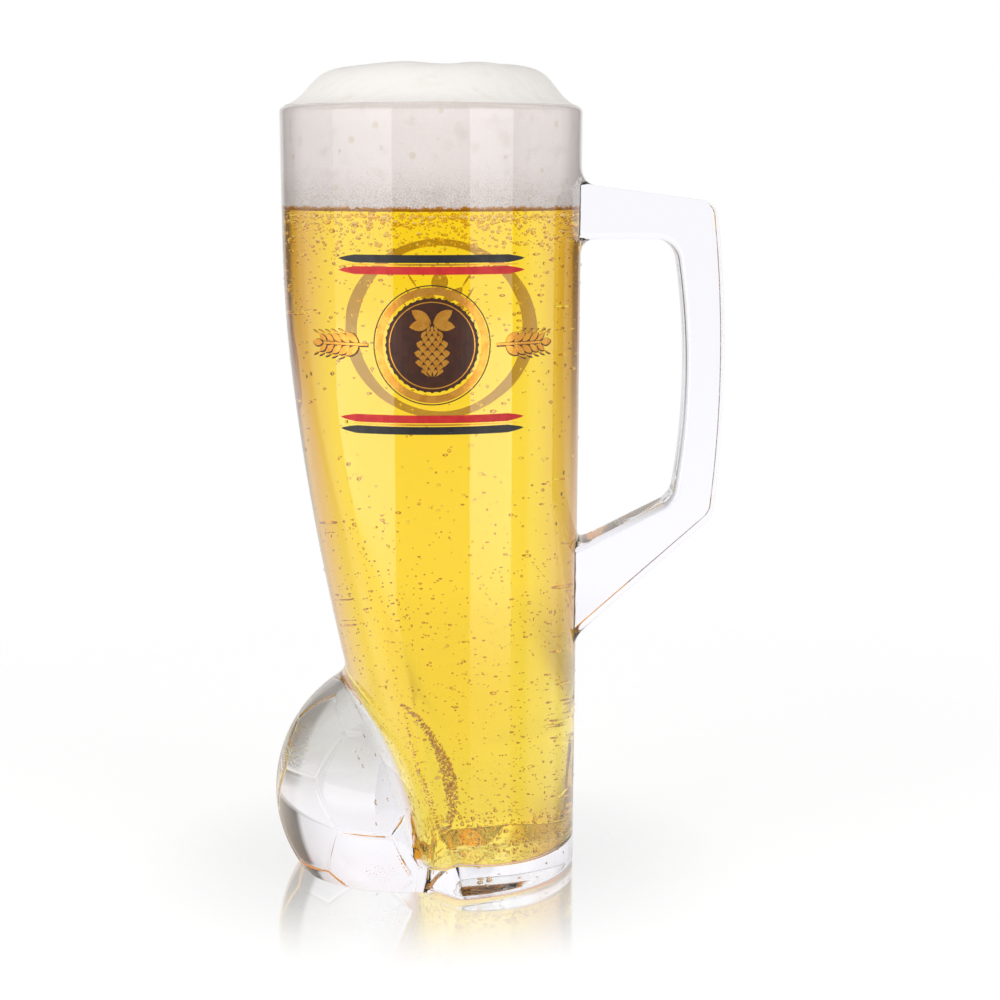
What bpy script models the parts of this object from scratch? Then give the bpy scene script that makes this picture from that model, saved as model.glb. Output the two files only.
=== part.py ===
"""Half-litre glass beer mug: a round body, scooped in at the foot where a glass football stands.

Units are metres and +Z is up. The handle is on the +X side and the ball on the -X side.
The origin is on the body's axis, on the surface that the mug stands on.
"""

import math

import bmesh
import bpy
from mathutils import Euler, Vector

MM = 0.001

# Gap between pieces that touch
CLEARANCE = 0.3 * MM

# Glass body
BODY_HEIGHT = 197.0 * MM
RIM_RADIUS = 38.5 * MM
FOOT_RADIUS = 36.9 * MM
WALL_AT_RIM = 3.0 * MM
WALL_AT_FOOT = 5.0 * MM
FLOOR_THICKNESS = 6.0 * MM
FLOOR_FILLET = 2.5 * MM
FOOT_EDGE_ROUND = 1.5 * MM

# Scooped face above the ball: how high it reaches, how deep it is at the foot, how its line bows,
# and how much flatter than the round wall it is
SCOOP_RISE = 166.0 * MM
SCOOP_DEPTH = 28.1 * MM
SCOOP_BOW = 1.7
SCOOP_EXTRA_RADIUS = 10.0 * MM
CREASE_FADE = math.radians(150.0)

# Football: its centre lies a little behind the scooped face
BALL_RADIUS = 35.1 * MM
BALL_EMBED = 2.3 * MM
BALL_CENTRE_HEIGHT = 20.0 * MM
SEAM_WIDTH = 1.1 * MM
SEAM_DEPTH = 0.5 * MM
PANEL_TURN = (math.radians(-4.2), math.radians(1.8), math.radians(0.5))

# Handle, measured from its finger gap outwards
GAP_BELOW_RIM = 33.1 * MM
GAP_WIDTH = 23.7 * MM
GAP_HEIGHT_AT_WALL = 79.7 * MM
GAP_HEIGHT_AT_GRIP = 66.6 * MM
GAP_CORNER_ROUND = 5.0 * MM
GRIP_WIDTH = 10.3 * MM
GRIP_BOW_INSIDE = 3.0 * MM
GRIP_BOW_OUTSIDE = 2.4 * MM
UPPER_ARM_AT_WALL = 14.1 * MM
UPPER_ARM_AT_GRIP = 9.3 * MM
LOWER_ARM_AT_WALL = 23.7 * MM
LOWER_ARM_AT_GRIP = 4.5 * MM
HANDLE_CORNER_ROUND = 3.5 * MM
HANDLE_ROOT_FLARE = 2.5 * MM
HANDLE_THICKNESS = 14.5 * MM
HANDLE_EDGE_ROUND = 2.0 * MM

# Beer and foam
FOAM_COLLAR = 25.2 * MM
FOAM_RISE = 10.1 * MM
FOAM_LIP = 1.6 * MM
FOAM_CROWN = 5.0

# Enamel prints: a medallion between barley ears, stripes above and below it, an oval on the back
PRINT_THICKNESS = 0.2 * MM
PRINT_AZIMUTH = math.radians(-88.0)
PRINT_BELOW_RIM = 57.5 * MM
MEDALLION_RADIUS = 11.5 * MM
RING_GAP = 0.6 * MM
RING_WIDTH = 1.8 * MM
EAR_GAP = 2.0 * MM
EAR_LENGTH = 17.0 * MM
EAR_HALF_WIDTH = 4.2 * MM
EAR_GRAINS = 5
EAR_TAPER = 0.5
GRAIN_SHOULDER = 0.6
GRAIN_SHOULDER_WIDTH = 0.75
GRAIN_REACH = 1.4
STALK_LENGTH = 2.5 * MM
STALK_HALF_WIDTH = 0.5 * MM
STRIPE_LENGTH = 48.0 * MM
STRIPE_HEIGHT = 1.9 * MM
STRIPE_GAP = 0.9 * MM
STRIPE_MARGIN = 3.0 * MM
BACK_AZIMUTH = math.radians(90.0)
BACK_RING_HALF_WIDTH = 12.0 * MM
BACK_RING_HALF_HEIGHT = 22.0 * MM
BACK_EAR_LENGTH = 30.0 * MM

# Fineness of the facets
ROUND_STEPS = 38
SCOOP_STEPS = 16
WALL_STEPS = 11
CORNER_STEPS = 4
RIM_STEPS = 4
EDGE_STEPS = 3
ARC_STEPS = 5
BOW_STEPS = 8
ARC_SHARE = 0.48
PANEL_CUTS = 3
PRINT_STRIP = 3.5 * MM
OVAL_STEPS = 32
SHARP_ANGLE = math.radians(32.0)
EDGE_ANGLE = math.radians(70.0)
SAME_POINT = 1e-7

# Sizes that follow from the ones above
SCOOP_RADIUS = RIM_RADIUS + SCOOP_EXTRA_RADIUS
RIM_ROUND = WALL_AT_RIM / 2
BEER_LINE = BODY_HEIGHT - FOAM_COLLAR
PRINT_HEIGHT = BODY_HEIGHT - PRINT_BELOW_RIM
BALL_CENTRE_X = SCOOP_DEPTH - FOOT_RADIUS + BALL_EMBED


def clear_scene():
    """Remove whatever the open file holds."""
    for old in list(bpy.data.objects):
        bpy.data.objects.remove(old, do_unlink=True)


def spread(start, end, steps):
    """Evenly spaced values from start to end, both included."""
    return [start + (end - start) * step / steps for step in range(steps + 1)]


def make_material(name, colour, roughness, transmission=0.0, metallic=0.0):
    """Principled material of one finish."""
    material = bpy.data.materials.new(name)
    material.use_nodes = True
    shader = material.node_tree.nodes["Principled BSDF"]
    shader.inputs["Base Color"].default_value = (*colour, 1.0)
    shader.inputs["Roughness"].default_value = roughness
    shader.inputs["Metallic"].default_value = metallic
    shader.inputs["Transmission Weight"].default_value = transmission
    material.diffuse_color = (*colour, 1.0)
    return material


def add_object(name, shape, material=None):
    """Turn a finished bmesh into a named, smooth-shaded object; without a material it is a cutter."""
    bmesh.ops.recalc_face_normals(shape, faces=shape.faces[:])
    if shape.calc_volume(signed=True) < 0:
        bmesh.ops.reverse_faces(shape, faces=shape.faces[:])
    mesh = bpy.data.meshes.new(name)
    shape.to_mesh(mesh)
    shape.free()
    mesh.shade_smooth()
    mesh.set_sharp_from_angle(angle=SHARP_ANGLE)
    piece = bpy.data.objects.new(name, mesh)
    bpy.context.scene.collection.objects.link(piece)
    if material is None:
        piece.hide_render = True
        piece.display_type = "WIRE"
    else:
        mesh.materials.append(material)
    return piece


def cut_away(piece, cutter):
    """Subtract a cutter from a piece."""
    cut = piece.modifiers.new("seat", "BOOLEAN")
    cut.operation = "DIFFERENCE"
    cut.solver = "EXACT"
    cut.object = cutter


def cone_radius(height):
    """Outer radius of the round wall."""
    return FOOT_RADIUS + (RIM_RADIUS - FOOT_RADIUS) * height / BODY_HEIGHT


def wall_thickness(height):
    """Thickness of the glass wall."""
    return WALL_AT_FOOT + (WALL_AT_RIM - WALL_AT_FOOT) * height / BODY_HEIGHT


def scoop_centre(height):
    """Distance along +X from the axis to the centre of the scooped face's arc."""
    depth = SCOOP_DEPTH * max(1 - height / SCOOP_RISE, 0) ** SCOOP_BOW
    return SCOOP_RADIUS - cone_radius(height) + depth


def wall_radius(angle, height, inset=0.0):
    """Distance from the axis to the body's surface, moved inwards by inset: round wall or scoop."""
    centre = scoop_centre(height)
    face = SCOOP_RADIUS - inset
    scoop = centre * math.cos(angle) + math.sqrt(face ** 2 - (centre * math.sin(angle)) ** 2)
    return min(cone_radius(height) - inset, scoop)


def crease_angle(height, inset):
    """Angle from +X to the edge between the round wall and the scooped face."""
    cone = cone_radius(height) - inset
    face = SCOOP_RADIUS - inset
    centre = scoop_centre(height)
    crossing = (cone ** 2 - face ** 2 + centre ** 2) / (2 * centre)
    return min(math.acos(max(-1.0, min(1.0, crossing / cone))), CREASE_FADE)


def section(height, inset=0.0):
    """Points of the body's horizontal section, with a point on each crease."""
    crease = crease_angle(height, inset)
    angles = spread(-crease, crease, ROUND_STEPS)[:-1]
    angles += spread(crease, 2 * math.pi - crease, SCOOP_STEPS)[:-1]
    ring = []
    for angle in angles:
        radius = wall_radius(angle, height, inset)
        ring.append(Vector((radius * math.cos(angle), radius * math.sin(angle), height)))
    return ring


def loft(rings):
    """Closed solid through rings of equally many points."""
    shape = bmesh.new()
    loops = [[shape.verts.new(point) for point in ring] for ring in rings]
    for low, high in zip(loops, loops[1:]):
        for index in range(len(low)):
            before = index - 1
            shape.faces.new((low[before], low[index], high[index], high[before]))
    shape.faces.new(loops[0])
    shape.faces.new(loops[-1])
    return shape


def cavity_rings(top, gap=0.0):
    """Sections down the inside of the glass from a height to its floor, kept off it by a gap."""
    floor = FLOOR_THICKNESS + gap
    heights = spread(min(top, SCOOP_RISE), floor + FLOOR_FILLET, WALL_STEPS)
    if top > SCOOP_RISE:
        heights.insert(0, top)
    rings = [section(height, wall_thickness(height) + gap) for height in heights[:-1]]
    for turn in spread(0, math.pi / 2, CORNER_STEPS):
        height = floor + FLOOR_FILLET * (1 - math.sin(turn))
        inset = wall_thickness(height) + gap + FLOOR_FILLET * (1 - math.cos(turn))
        rings.append(section(height, inset))
    return rings


def make_body(material):
    """The glass vessel: up the outside, round the rim and down the inside."""
    rings = []
    for turn in spread(0, math.pi / 2, CORNER_STEPS - 1):
        height = FOOT_EDGE_ROUND * (1 - math.cos(turn))
        rings.append(section(height, FOOT_EDGE_ROUND * (1 - math.sin(turn))))
    heights = spread(FOOT_EDGE_ROUND, min(SCOOP_RISE, BODY_HEIGHT - WALL_AT_RIM), WALL_STEPS)
    rings += [section(height) for height in heights[1:]]
    for turn in spread(0, math.pi, RIM_STEPS):
        height = BODY_HEIGHT - RIM_ROUND * (1 - math.sin(turn))
        rings.append(section(height, RIM_ROUND * (1 - math.cos(turn))))
    rings += cavity_rings(BODY_HEIGHT - WALL_AT_RIM)
    return add_object("mug_body", loft(rings), material)


def make_body_cutter():
    """The body's outer form without its cavity, larger by the clearance, for seating its neighbours."""
    overrun = 2 * HANDLE_ROOT_FLARE
    heights = [-overrun, *spread(0, SCOOP_RISE, WALL_STEPS), max(BODY_HEIGHT, SCOOP_RISE) + overrun]
    return add_object("body_cutter", loft([section(height, -CLEARANCE) for height in heights]))


def panelled_ball():
    """Sphere of twelve five-sided and twenty six-sided panels, with a groove along every seam."""
    ball = bmesh.new()
    bmesh.ops.create_icosphere(ball, subdivisions=1, radius=BALL_RADIUS)
    third = min(edge.calc_length() for edge in ball.edges) / 3
    bmesh.ops.bevel(
        ball, geom=ball.verts[:], offset=third, offset_type="OFFSET", affect="VERTICES", segments=1
    )
    groove = ball.verts.layers.float.new("groove")
    for vert in ball.verts:
        vert.co = vert.co.normalized() * BALL_RADIUS
        vert[groove] = 1.0
    panels = ball.faces[:]
    bmesh.ops.inset_individual(ball, faces=panels, thickness=SEAM_WIDTH / 2, use_even_offset=True)
    for panel in panels:
        for vert in panel.verts:
            vert[groove] = 0.0
    bmesh.ops.poke(ball, faces=panels)
    along_seams = [edge for edge in ball.edges if edge.verts[0][groove] == edge.verts[1][groove]]
    bmesh.ops.subdivide_edges(ball, edges=along_seams, cuts=PANEL_CUTS, use_grid_fill=True)
    for vert in ball.verts:
        vert.co = vert.co.normalized() * (BALL_RADIUS - SEAM_DEPTH * vert[groove])
    return ball


def make_football(material, body_cutter):
    """The ball, cut flat where it stands and seated against the scooped face."""
    ball = panelled_ball()
    bmesh.ops.rotate(ball, verts=ball.verts[:], matrix=Euler(PANEL_TURN).to_matrix())
    everything = ball.verts[:] + ball.edges[:] + ball.faces[:]
    floor = Vector((0, 0, -BALL_CENTRE_HEIGHT))
    cut = bmesh.ops.bisect_plane(
        ball, geom=everything, plane_co=floor, plane_no=(0, 0, -1), clear_outer=True
    )
    rim = [edge for edge in cut["geom_cut"] if isinstance(edge, bmesh.types.BMEdge)]
    bmesh.ops.edgenet_fill(ball, edges=rim)
    football = add_object("football", ball, material)
    football.location = (BALL_CENTRE_X, 0, BALL_CENTRE_HEIGHT)
    cut_away(football, body_cutter)
    return football


def rounded_outline(corners):
    """Closed outline through (x, z, radius) corners; an arc is kept to what its two sides can hold."""
    points = []
    for index, (x, z, radius) in enumerate(corners):
        corner = Vector((x, z))
        back = Vector(corners[index - 1][:2]) - corner
        ahead = Vector(corners[(index + 1) % len(corners)][:2]) - corner
        if radius == 0:
            points.append(corner)
            continue
        half = back.angle(ahead) / 2
        tangent = min(radius / math.tan(half), ARC_SHARE * back.length, ARC_SHARE * ahead.length)
        arc_radius = tangent * math.tan(half)
        middle = (back.normalized() + ahead.normalized()).normalized()
        centre = corner + middle * arc_radius / math.sin(half)
        start = corner + back.normalized() * tangent - centre
        end = corner + ahead.normalized() * tangent - centre
        sweep = start.angle_signed(end)
        for step in range(ARC_STEPS + 1):
            turn = -sweep * step / ARC_STEPS
            across = Vector((-start.y, start.x))
            points.append(centre + start * math.cos(turn) + across * math.sin(turn))
    return points


def bowed_side(x, start, end, bow):
    """Points between the two ends of an upright side that bows out by a given height."""
    shares = spread(0, 1, BOW_STEPS)[1:-1]
    return [(x + 4 * bow * share * (1 - share), start + (end - start) * share, 0) for share in shares]


def handle_corners():
    """Corners of the handle's side view: round the outside, then back along the finger gap."""
    gap_top = BODY_HEIGHT - GAP_BELOW_RIM
    gap_foot = gap_top - GAP_HEIGHT_AT_WALL
    gap_knee = gap_top - GAP_HEIGHT_AT_GRIP
    top = gap_top + UPPER_ARM_AT_WALL
    shoulder = gap_top + UPPER_ARM_AT_GRIP
    knee = gap_knee - LOWER_ARM_AT_GRIP
    foot = gap_foot - LOWER_ARM_AT_WALL
    upper_wall = cone_radius(gap_top)
    lower_wall = cone_radius(gap_foot)
    inside = upper_wall + GAP_WIDTH
    outside = inside + GRIP_WIDTH
    root = min(upper_wall, lower_wall) - HANDLE_ROOT_FLARE
    flare = HANDLE_ROOT_FLARE
    return [
        (root, top + flare, 0),
        (upper_wall, top + flare, 0),
        (upper_wall, top, flare),
        (outside, shoulder, HANDLE_CORNER_ROUND),
        *bowed_side(outside, shoulder, knee, GRIP_BOW_OUTSIDE),
        (outside, knee, HANDLE_CORNER_ROUND),
        (lower_wall, foot, flare),
        (lower_wall, foot - flare, 0),
        (root, foot - flare, 0),
        (root, gap_foot + flare, 0),
        (lower_wall, gap_foot + flare, 0),
        (lower_wall, gap_foot, flare),
        (inside, gap_knee, GAP_CORNER_ROUND),
        *bowed_side(inside, gap_knee, gap_top, GRIP_BOW_INSIDE),
        (inside, gap_top, GAP_CORNER_ROUND),
        (upper_wall, gap_top, flare),
        (upper_wall, gap_top - flare, 0),
        (root, gap_top - flare, 0),
    ]


def make_handle(material, body_cutter):
    """The handle: its side view drawn out to its thickness, with rounded edges, seated on the wall."""
    shape = bmesh.new()
    near = -HANDLE_THICKNESS / 2
    outline = [shape.verts.new((x, near, z)) for x, z in rounded_outline(handle_corners())]
    side = shape.faces.new(outline)
    drawn = bmesh.ops.extrude_face_region(shape, geom=[side])
    far_side = [item for item in drawn["geom"] if isinstance(item, bmesh.types.BMVert)]
    bmesh.ops.translate(shape, verts=far_side, vec=(0, HANDLE_THICKNESS, 0))
    handle = add_object("handle", shape, material)
    edge = handle.modifiers.new("edge_round", "BEVEL")
    edge.width = HANDLE_EDGE_ROUND
    edge.segments = EDGE_STEPS
    edge.limit_method = "ANGLE"
    edge.angle_limit = EDGE_ANGLE
    cut_away(handle, body_cutter)
    return handle


def make_beer(material):
    """The beer: the cavity's own form up to the beer line."""
    return add_object("beer", loft(cavity_rings(BEER_LINE, CLEARANCE)), material)


def make_foam(material):
    """The foam: a collar inside the rim, a lip that creeps over it and a flat-topped dome."""
    rings = []
    for height in (BEER_LINE + CLEARANCE, BODY_HEIGHT - RIM_ROUND, BODY_HEIGHT + CLEARANCE):
        rings.append(section(height, wall_thickness(height) + CLEARANCE))
    base = BODY_HEIGHT + CLEARANCE
    lip = RIM_RADIUS - WALL_AT_RIM + FOAM_LIP
    for turn in spread(0, math.pi / 2, ROUND_STEPS // 4)[:-1]:
        share = math.cos(turn)
        height = base + FOAM_LIP / 2 + (FOAM_RISE - FOAM_LIP / 2) * (1 - share ** FOAM_CROWN)
        ring = section(BODY_HEIGHT, RIM_RADIUS - lip * share)
        rings.append([Vector((point.x, point.y, height)) for point in ring])
    return add_object("foam_head", loft(rings), material)


def oval(half_width, half_height):
    """Points round an oval in the flat print."""
    turns = spread(0, 2 * math.pi, OVAL_STEPS)[:-1]
    return [Vector((half_width * math.cos(turn), half_height * math.sin(turn))) for turn in turns]


def flat_field(outline):
    """Flat print with one outline."""
    shape = bmesh.new()
    shape.faces.new([shape.verts.new((x, z, 0)) for x, z in outline])
    return shape


def flat_ring(half_width, half_height, band):
    """Flat print between two ovals."""
    shape = bmesh.new()
    inner = [shape.verts.new((x, z, 0)) for x, z in oval(half_width, half_height)]
    outer = [shape.verts.new((x, z, 0)) for x, z in oval(half_width + band, half_height + band)]
    for index in range(OVAL_STEPS):
        shape.faces.new((inner[index - 1], outer[index - 1], outer[index], inner[index]))
    return shape


def stripe_outline(height):
    """Straight stripe with pointed ends, its middle line at a height."""
    half = STRIPE_LENGTH / 2
    rise = STRIPE_HEIGHT / 2
    shoulder = half - STRIPE_HEIGHT
    upper = [Vector((shoulder, height + rise)), Vector((-shoulder, height + rise))]
    lower = [Vector((-shoulder, height - rise)), Vector((shoulder, height - rise))]
    return [Vector((half, height)), *upper, Vector((-half, height)), *lower]


def ear_outline(length):
    """Barley ear along +X: a stalk, pairs of barbed grains and a last grain at the tip."""
    pitch = (length - STALK_LENGTH) / (EAR_GRAINS + 1)
    edge = [Vector((0, STALK_HALF_WIDTH))]
    for grain in range(EAR_GRAINS):
        start = STALK_LENGTH + grain * pitch
        width = EAR_HALF_WIDTH * (1 - EAR_TAPER * grain / EAR_GRAINS)
        edge.append(Vector((start, STALK_HALF_WIDTH)))
        edge.append(Vector((start + GRAIN_SHOULDER * pitch, GRAIN_SHOULDER_WIDTH * width)))
        edge.append(Vector((start + GRAIN_REACH * pitch, width)))
    edge.append(Vector((length - pitch, STALK_HALF_WIDTH)))
    edge.append(Vector((length - pitch / 2, 2 * STALK_HALF_WIDTH)))
    mirrored = [Vector((point.x, -point.y)) for point in reversed(edge)]
    return [*edge, Vector((length, 0)), *mirrored]


def moved(outline, turn, shift):
    """Outline turned about its start and moved along the print."""
    points = []
    for point in outline:
        along = point.x * math.cos(turn) - point.y * math.sin(turn)
        up = point.x * math.sin(turn) + point.y * math.cos(turn)
        points.append(Vector((along + shift[0], up + shift[1])))
    return points


def add_print(name, flat, azimuth, material):
    """Slice a flat print into upright strips, give it its thickness and lay it round the body's wall."""
    bmesh.ops.triangulate(flat, faces=flat.faces[:])
    ends = [vert.co.x for vert in flat.verts]
    strips = max(1, round((max(ends) - min(ends)) / PRINT_STRIP))
    for place in spread(min(ends), max(ends), strips)[1:-1]:
        everything = flat.verts[:] + flat.edges[:] + flat.faces[:]
        bmesh.ops.bisect_plane(
            flat, geom=everything, dist=SAME_POINT, plane_co=(place, 0, 0), plane_no=(1, 0, 0)
        )
    drawn = bmesh.ops.extrude_face_region(flat, geom=flat.faces[:])
    face_side = [item for item in drawn["geom"] if isinstance(item, bmesh.types.BMVert)]
    bmesh.ops.translate(flat, verts=face_side, vec=(0, 0, PRINT_THICKNESS))
    reach = cone_radius(PRINT_HEIGHT)
    for vert in flat.verts:
        along, up, lift = vert.co
        angle = azimuth + along / reach
        height = PRINT_HEIGHT + up
        radius = wall_radius(angle, height, -CLEARANCE) + lift
        vert.co = (radius * math.cos(angle), radius * math.sin(angle), height)
    return add_object(name, flat, material)


def make_prints():
    """Front medallion between two barley ears and two pairs of stripes, and an oval on the back."""
    gold = make_material("gold_enamel", (0.72, 0.45, 0.10), 0.30, metallic=0.6)
    brown = make_material("brown_enamel", (0.10, 0.035, 0.015), 0.40)
    red = make_material("red_enamel", (0.62, 0.03, 0.03), 0.40)
    black = make_material("black_enamel", (0.02, 0.018, 0.016), 0.40)
    amber = make_material("amber_enamel", (0.55, 0.22, 0.03), 0.40)
    ring = MEDALLION_RADIUS + RING_GAP
    ear_root = ring + RING_WIDTH + EAR_GAP
    ear = ear_outline(EAR_LENGTH)
    front = {
        "print_medallion": (flat_field(oval(MEDALLION_RADIUS, MEDALLION_RADIUS)), brown),
        "print_ring": (flat_ring(ring, ring, RING_WIDTH), gold),
        "print_ear_right": (flat_field(moved(ear, 0, (ear_root, 0))), gold),
        "print_ear_left": (flat_field(moved(ear, math.pi, (-ear_root, 0))), gold),
    }
    first = ring + RING_WIDTH + STRIPE_MARGIN + STRIPE_HEIGHT / 2
    second = first + STRIPE_HEIGHT + STRIPE_GAP
    for side, place in (("upper", 1), ("lower", -1)):
        front[f"print_stripe_red_{side}"] = (flat_field(stripe_outline(place * first)), red)
        front[f"print_stripe_black_{side}"] = (flat_field(stripe_outline(place * second)), black)
    for name, (flat, enamel) in front.items():
        add_print(name, flat, PRINT_AZIMUTH, enamel)
    oval_ring = flat_ring(BACK_RING_HALF_WIDTH, BACK_RING_HALF_HEIGHT, RING_WIDTH)
    add_print("print_back_oval", oval_ring, BACK_AZIMUTH, amber)
    back_ear = moved(ear_outline(BACK_EAR_LENGTH), math.pi / 2, (0, -BACK_EAR_LENGTH / 2))
    add_print("print_back_ear", flat_field(back_ear), BACK_AZIMUTH, amber)


def main():
    """Build every piece of the mug."""
    clear_scene()
    glass = make_material("clear_glass", (0.95, 0.97, 0.97), 0.02, transmission=1.0)
    ball_glass = make_material("ball_glass", (0.93, 0.95, 0.96), 0.05, transmission=1.0)
    handle_glass = make_material("handle_glass", (0.95, 0.96, 0.98), 0.02, transmission=1.0)
    golden_beer = make_material("golden_beer", (1.0, 0.70, 0.08), 0.02, transmission=0.9)
    white_foam = make_material("white_foam", (0.93, 0.90, 0.85), 0.70)
    make_body(glass)
    body_cutter = make_body_cutter()
    make_football(ball_glass, body_cutter)
    make_handle(handle_glass, body_cutter)
    make_beer(golden_beer)
    make_foam(white_foam)
    make_prints()


main()
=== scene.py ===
# %% [markdown]
# # A beer mug with a football at its foot
# The mug is one piece of pressed glass: a tall round cup, a flat-sided handle, and a solid glass ball
# that stands against a scoop in the foot. It is filled with pale beer under a high head of foam.
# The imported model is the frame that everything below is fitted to, so it is loaded first and its box is
# kept for a comparison at the end.

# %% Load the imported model
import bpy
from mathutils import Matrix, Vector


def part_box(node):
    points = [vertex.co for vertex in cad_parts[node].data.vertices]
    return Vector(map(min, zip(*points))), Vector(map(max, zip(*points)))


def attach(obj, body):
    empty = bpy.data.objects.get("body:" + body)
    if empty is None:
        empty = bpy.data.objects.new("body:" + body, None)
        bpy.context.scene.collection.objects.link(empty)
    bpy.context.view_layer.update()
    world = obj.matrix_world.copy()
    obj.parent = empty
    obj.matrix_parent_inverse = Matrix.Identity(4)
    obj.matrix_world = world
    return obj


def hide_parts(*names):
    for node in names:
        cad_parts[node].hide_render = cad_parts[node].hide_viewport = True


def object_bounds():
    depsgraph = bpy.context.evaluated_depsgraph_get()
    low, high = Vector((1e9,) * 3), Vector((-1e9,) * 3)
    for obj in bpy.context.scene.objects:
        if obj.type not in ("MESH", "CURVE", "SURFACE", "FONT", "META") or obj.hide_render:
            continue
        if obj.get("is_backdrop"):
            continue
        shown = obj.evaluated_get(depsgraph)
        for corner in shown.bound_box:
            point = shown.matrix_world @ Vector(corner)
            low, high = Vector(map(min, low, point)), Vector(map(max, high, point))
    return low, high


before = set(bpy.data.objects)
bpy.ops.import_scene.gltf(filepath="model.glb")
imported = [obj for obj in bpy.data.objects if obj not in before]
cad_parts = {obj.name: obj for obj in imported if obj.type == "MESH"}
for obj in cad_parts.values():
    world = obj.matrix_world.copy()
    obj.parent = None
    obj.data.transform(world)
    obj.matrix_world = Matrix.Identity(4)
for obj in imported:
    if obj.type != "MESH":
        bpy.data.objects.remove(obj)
CAD_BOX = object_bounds()
print("packed model:", len(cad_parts), "nodes, box", [list(corner) for corner in CAD_BOX])

# %% Modules, units and the scene's colour settings
import math

import bmesh
import bpy
import numpy as np
from mathutils import Euler, Vector, noise

MM = 0.001
DEGREE = math.pi / 180
LIGHT_BOUNCES = 24
GLOSSY_BOUNCES = 8
CLEAR_BOUNCES = 16

scene = bpy.context.scene
scene.view_settings.view_transform = "Standard"
scene.cycles.max_bounces = LIGHT_BOUNCES
scene.cycles.transmission_bounces = LIGHT_BOUNCES
scene.cycles.glossy_bounces = GLOSSY_BOUNCES
scene.cycles.transparent_max_bounces = CLEAR_BOUNCES
print("light may bounce", LIGHT_BOUNCES, "times, because it crosses many skins of glass")

# %% [markdown]
# ## The camera
# The photograph was taken from just below the rim, so the rim is almost a straight line and the foot
# still shows its curve. A long lens at about half a metre gives that mild perspective. The camera is
# pitched down and not shifted, so the same lens works from every other side.

# %% Camera
CAMERA_PLACE = (17.6 * MM, -563.5 * MM, 181.4 * MM)
CAMERA_PITCH = 8.59 * DEGREE
CAMERA_LENS = 78.9
CAMERA_SENSOR = 36.0
CAMERA_NEAREST = 10 * MM

camera_data = bpy.data.cameras.new("camera")
camera_data.lens = CAMERA_LENS
camera_data.sensor_width = CAMERA_SENSOR
camera_data.clip_start = CAMERA_NEAREST
camera = bpy.data.objects.new("camera", camera_data)
camera.location = CAMERA_PLACE
camera.rotation_euler = (math.pi / 2 - CAMERA_PITCH, 0, 0)
scene.collection.objects.link(camera)
scene.camera = camera
print("camera at", [round(value, 3) for value in camera.location], "lens", CAMERA_LENS)

# %% [markdown]
# ## Writing shaders as sums
# A finish is a small calculation: a noise times a depth, one colour mixed into another by a mask. The
# class below wraps a socket so that such a calculation reads as one line of Python, and each operator
# adds its Math node. Every other node comes from Recipe.node, which takes the node's type, its settings
# and what goes into its sockets.

# %% Sockets that can be added and multiplied
class Wire:
    """A node's output that can be used in sums."""

    def __init__(self, recipe, socket):
        self.recipe = recipe
        self.socket = socket

    def sum(self, operation, *values):
        return self.recipe.node("ShaderNodeMath", {"operation": operation}, dict(enumerate(values)))

    def __add__(self, other):
        return self.sum("ADD", self, other)

    def __radd__(self, other):
        return self.sum("ADD", other, self)

    def __sub__(self, other):
        return self.sum("SUBTRACT", self, other)

    def __rsub__(self, other):
        return self.sum("SUBTRACT", other, self)

    def __mul__(self, other):
        return self.sum("MULTIPLY", self, other)

    def __rmul__(self, other):
        return self.sum("MULTIPLY", other, self)

    def __truediv__(self, other):
        return self.sum("DIVIDE", self, other)

    def __rtruediv__(self, other):
        return self.sum("DIVIDE", other, self)

    def __pow__(self, other):
        return self.sum("POWER", self, other)

    def __gt__(self, other):
        return self.sum("GREATER_THAN", self, other)

    def __abs__(self):
        return self.sum("ABSOLUTE", self)


# %% Node trees written node by node
AXES = ("X", "Y", "Z")


class Recipe:
    """A node tree that is written node by node."""

    def __init__(self, tree):
        self.tree = tree
        tree.nodes.clear()

    def node(self, kind, settings=None, sockets=None, out=0):
        """Add a node and give the wire of one output, or of several if out is a tuple of names."""
        made = self.tree.nodes.new(kind)
        for name, value in (settings or {}).items():
            setattr(made, name, value)
        for name, value in (sockets or {}).items():
            if isinstance(value, Wire):
                self.tree.links.new(value.socket, made.inputs[name])
            else:
                made.inputs[name].default_value = value
        if isinstance(out, tuple):
            return [Wire(self, made.outputs[name]) for name in out]
        return Wire(self, made.outputs[out]) if made.outputs else made

    def step(self, value, low, high):
        """0 below low, 1 above high, smooth between; falling if low is above high."""
        ends = {"Value": value, "From Min": low, "From Max": high}
        return self.node("ShaderNodeMapRange", {"interpolation_type": "SMOOTHSTEP"}, ends)

    def noise(self, place, scale, detail=2.0, roughness=0.5):
        sockets = {"Vector": place, "Scale": scale, "Detail": detail, "Roughness": roughness}
        return self.node("ShaderNodeTexNoise", None, sockets)

    def cells(self, place, scale, feature="F1"):
        """Distance to the nearest of many strewn points, or to the edge between two of their cells."""
        return self.node("ShaderNodeTexVoronoi", {"feature": feature}, {"Vector": place, "Scale": scale})

    def bump(self, height, strength, distance):
        """A normal that tilts with a height."""
        sockets = {"Height": height, "Strength": strength, "Distance": distance}
        return self.node("ShaderNodeBump", None, sockets)

    def mix(self, share, first, second):
        """Two colours mixed by a share."""
        return self.node("ShaderNodeMix", {"data_type": "RGBA"}, {0: share, 6: first, 7: second}, out=2)

    def place(self):
        """Object coordinates and their three parts, in metres."""
        whole = self.node("ShaderNodeTexCoord", out="Object")
        return whole, *self.node("ShaderNodeSeparateXYZ", None, {0: whole}, AXES)


# %% Materials, colours and blends
def new_material(name):
    """An empty material and its recipe."""
    material = bpy.data.materials.new(name)
    material.use_nodes = True
    return material, Recipe(material.node_tree)


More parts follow.
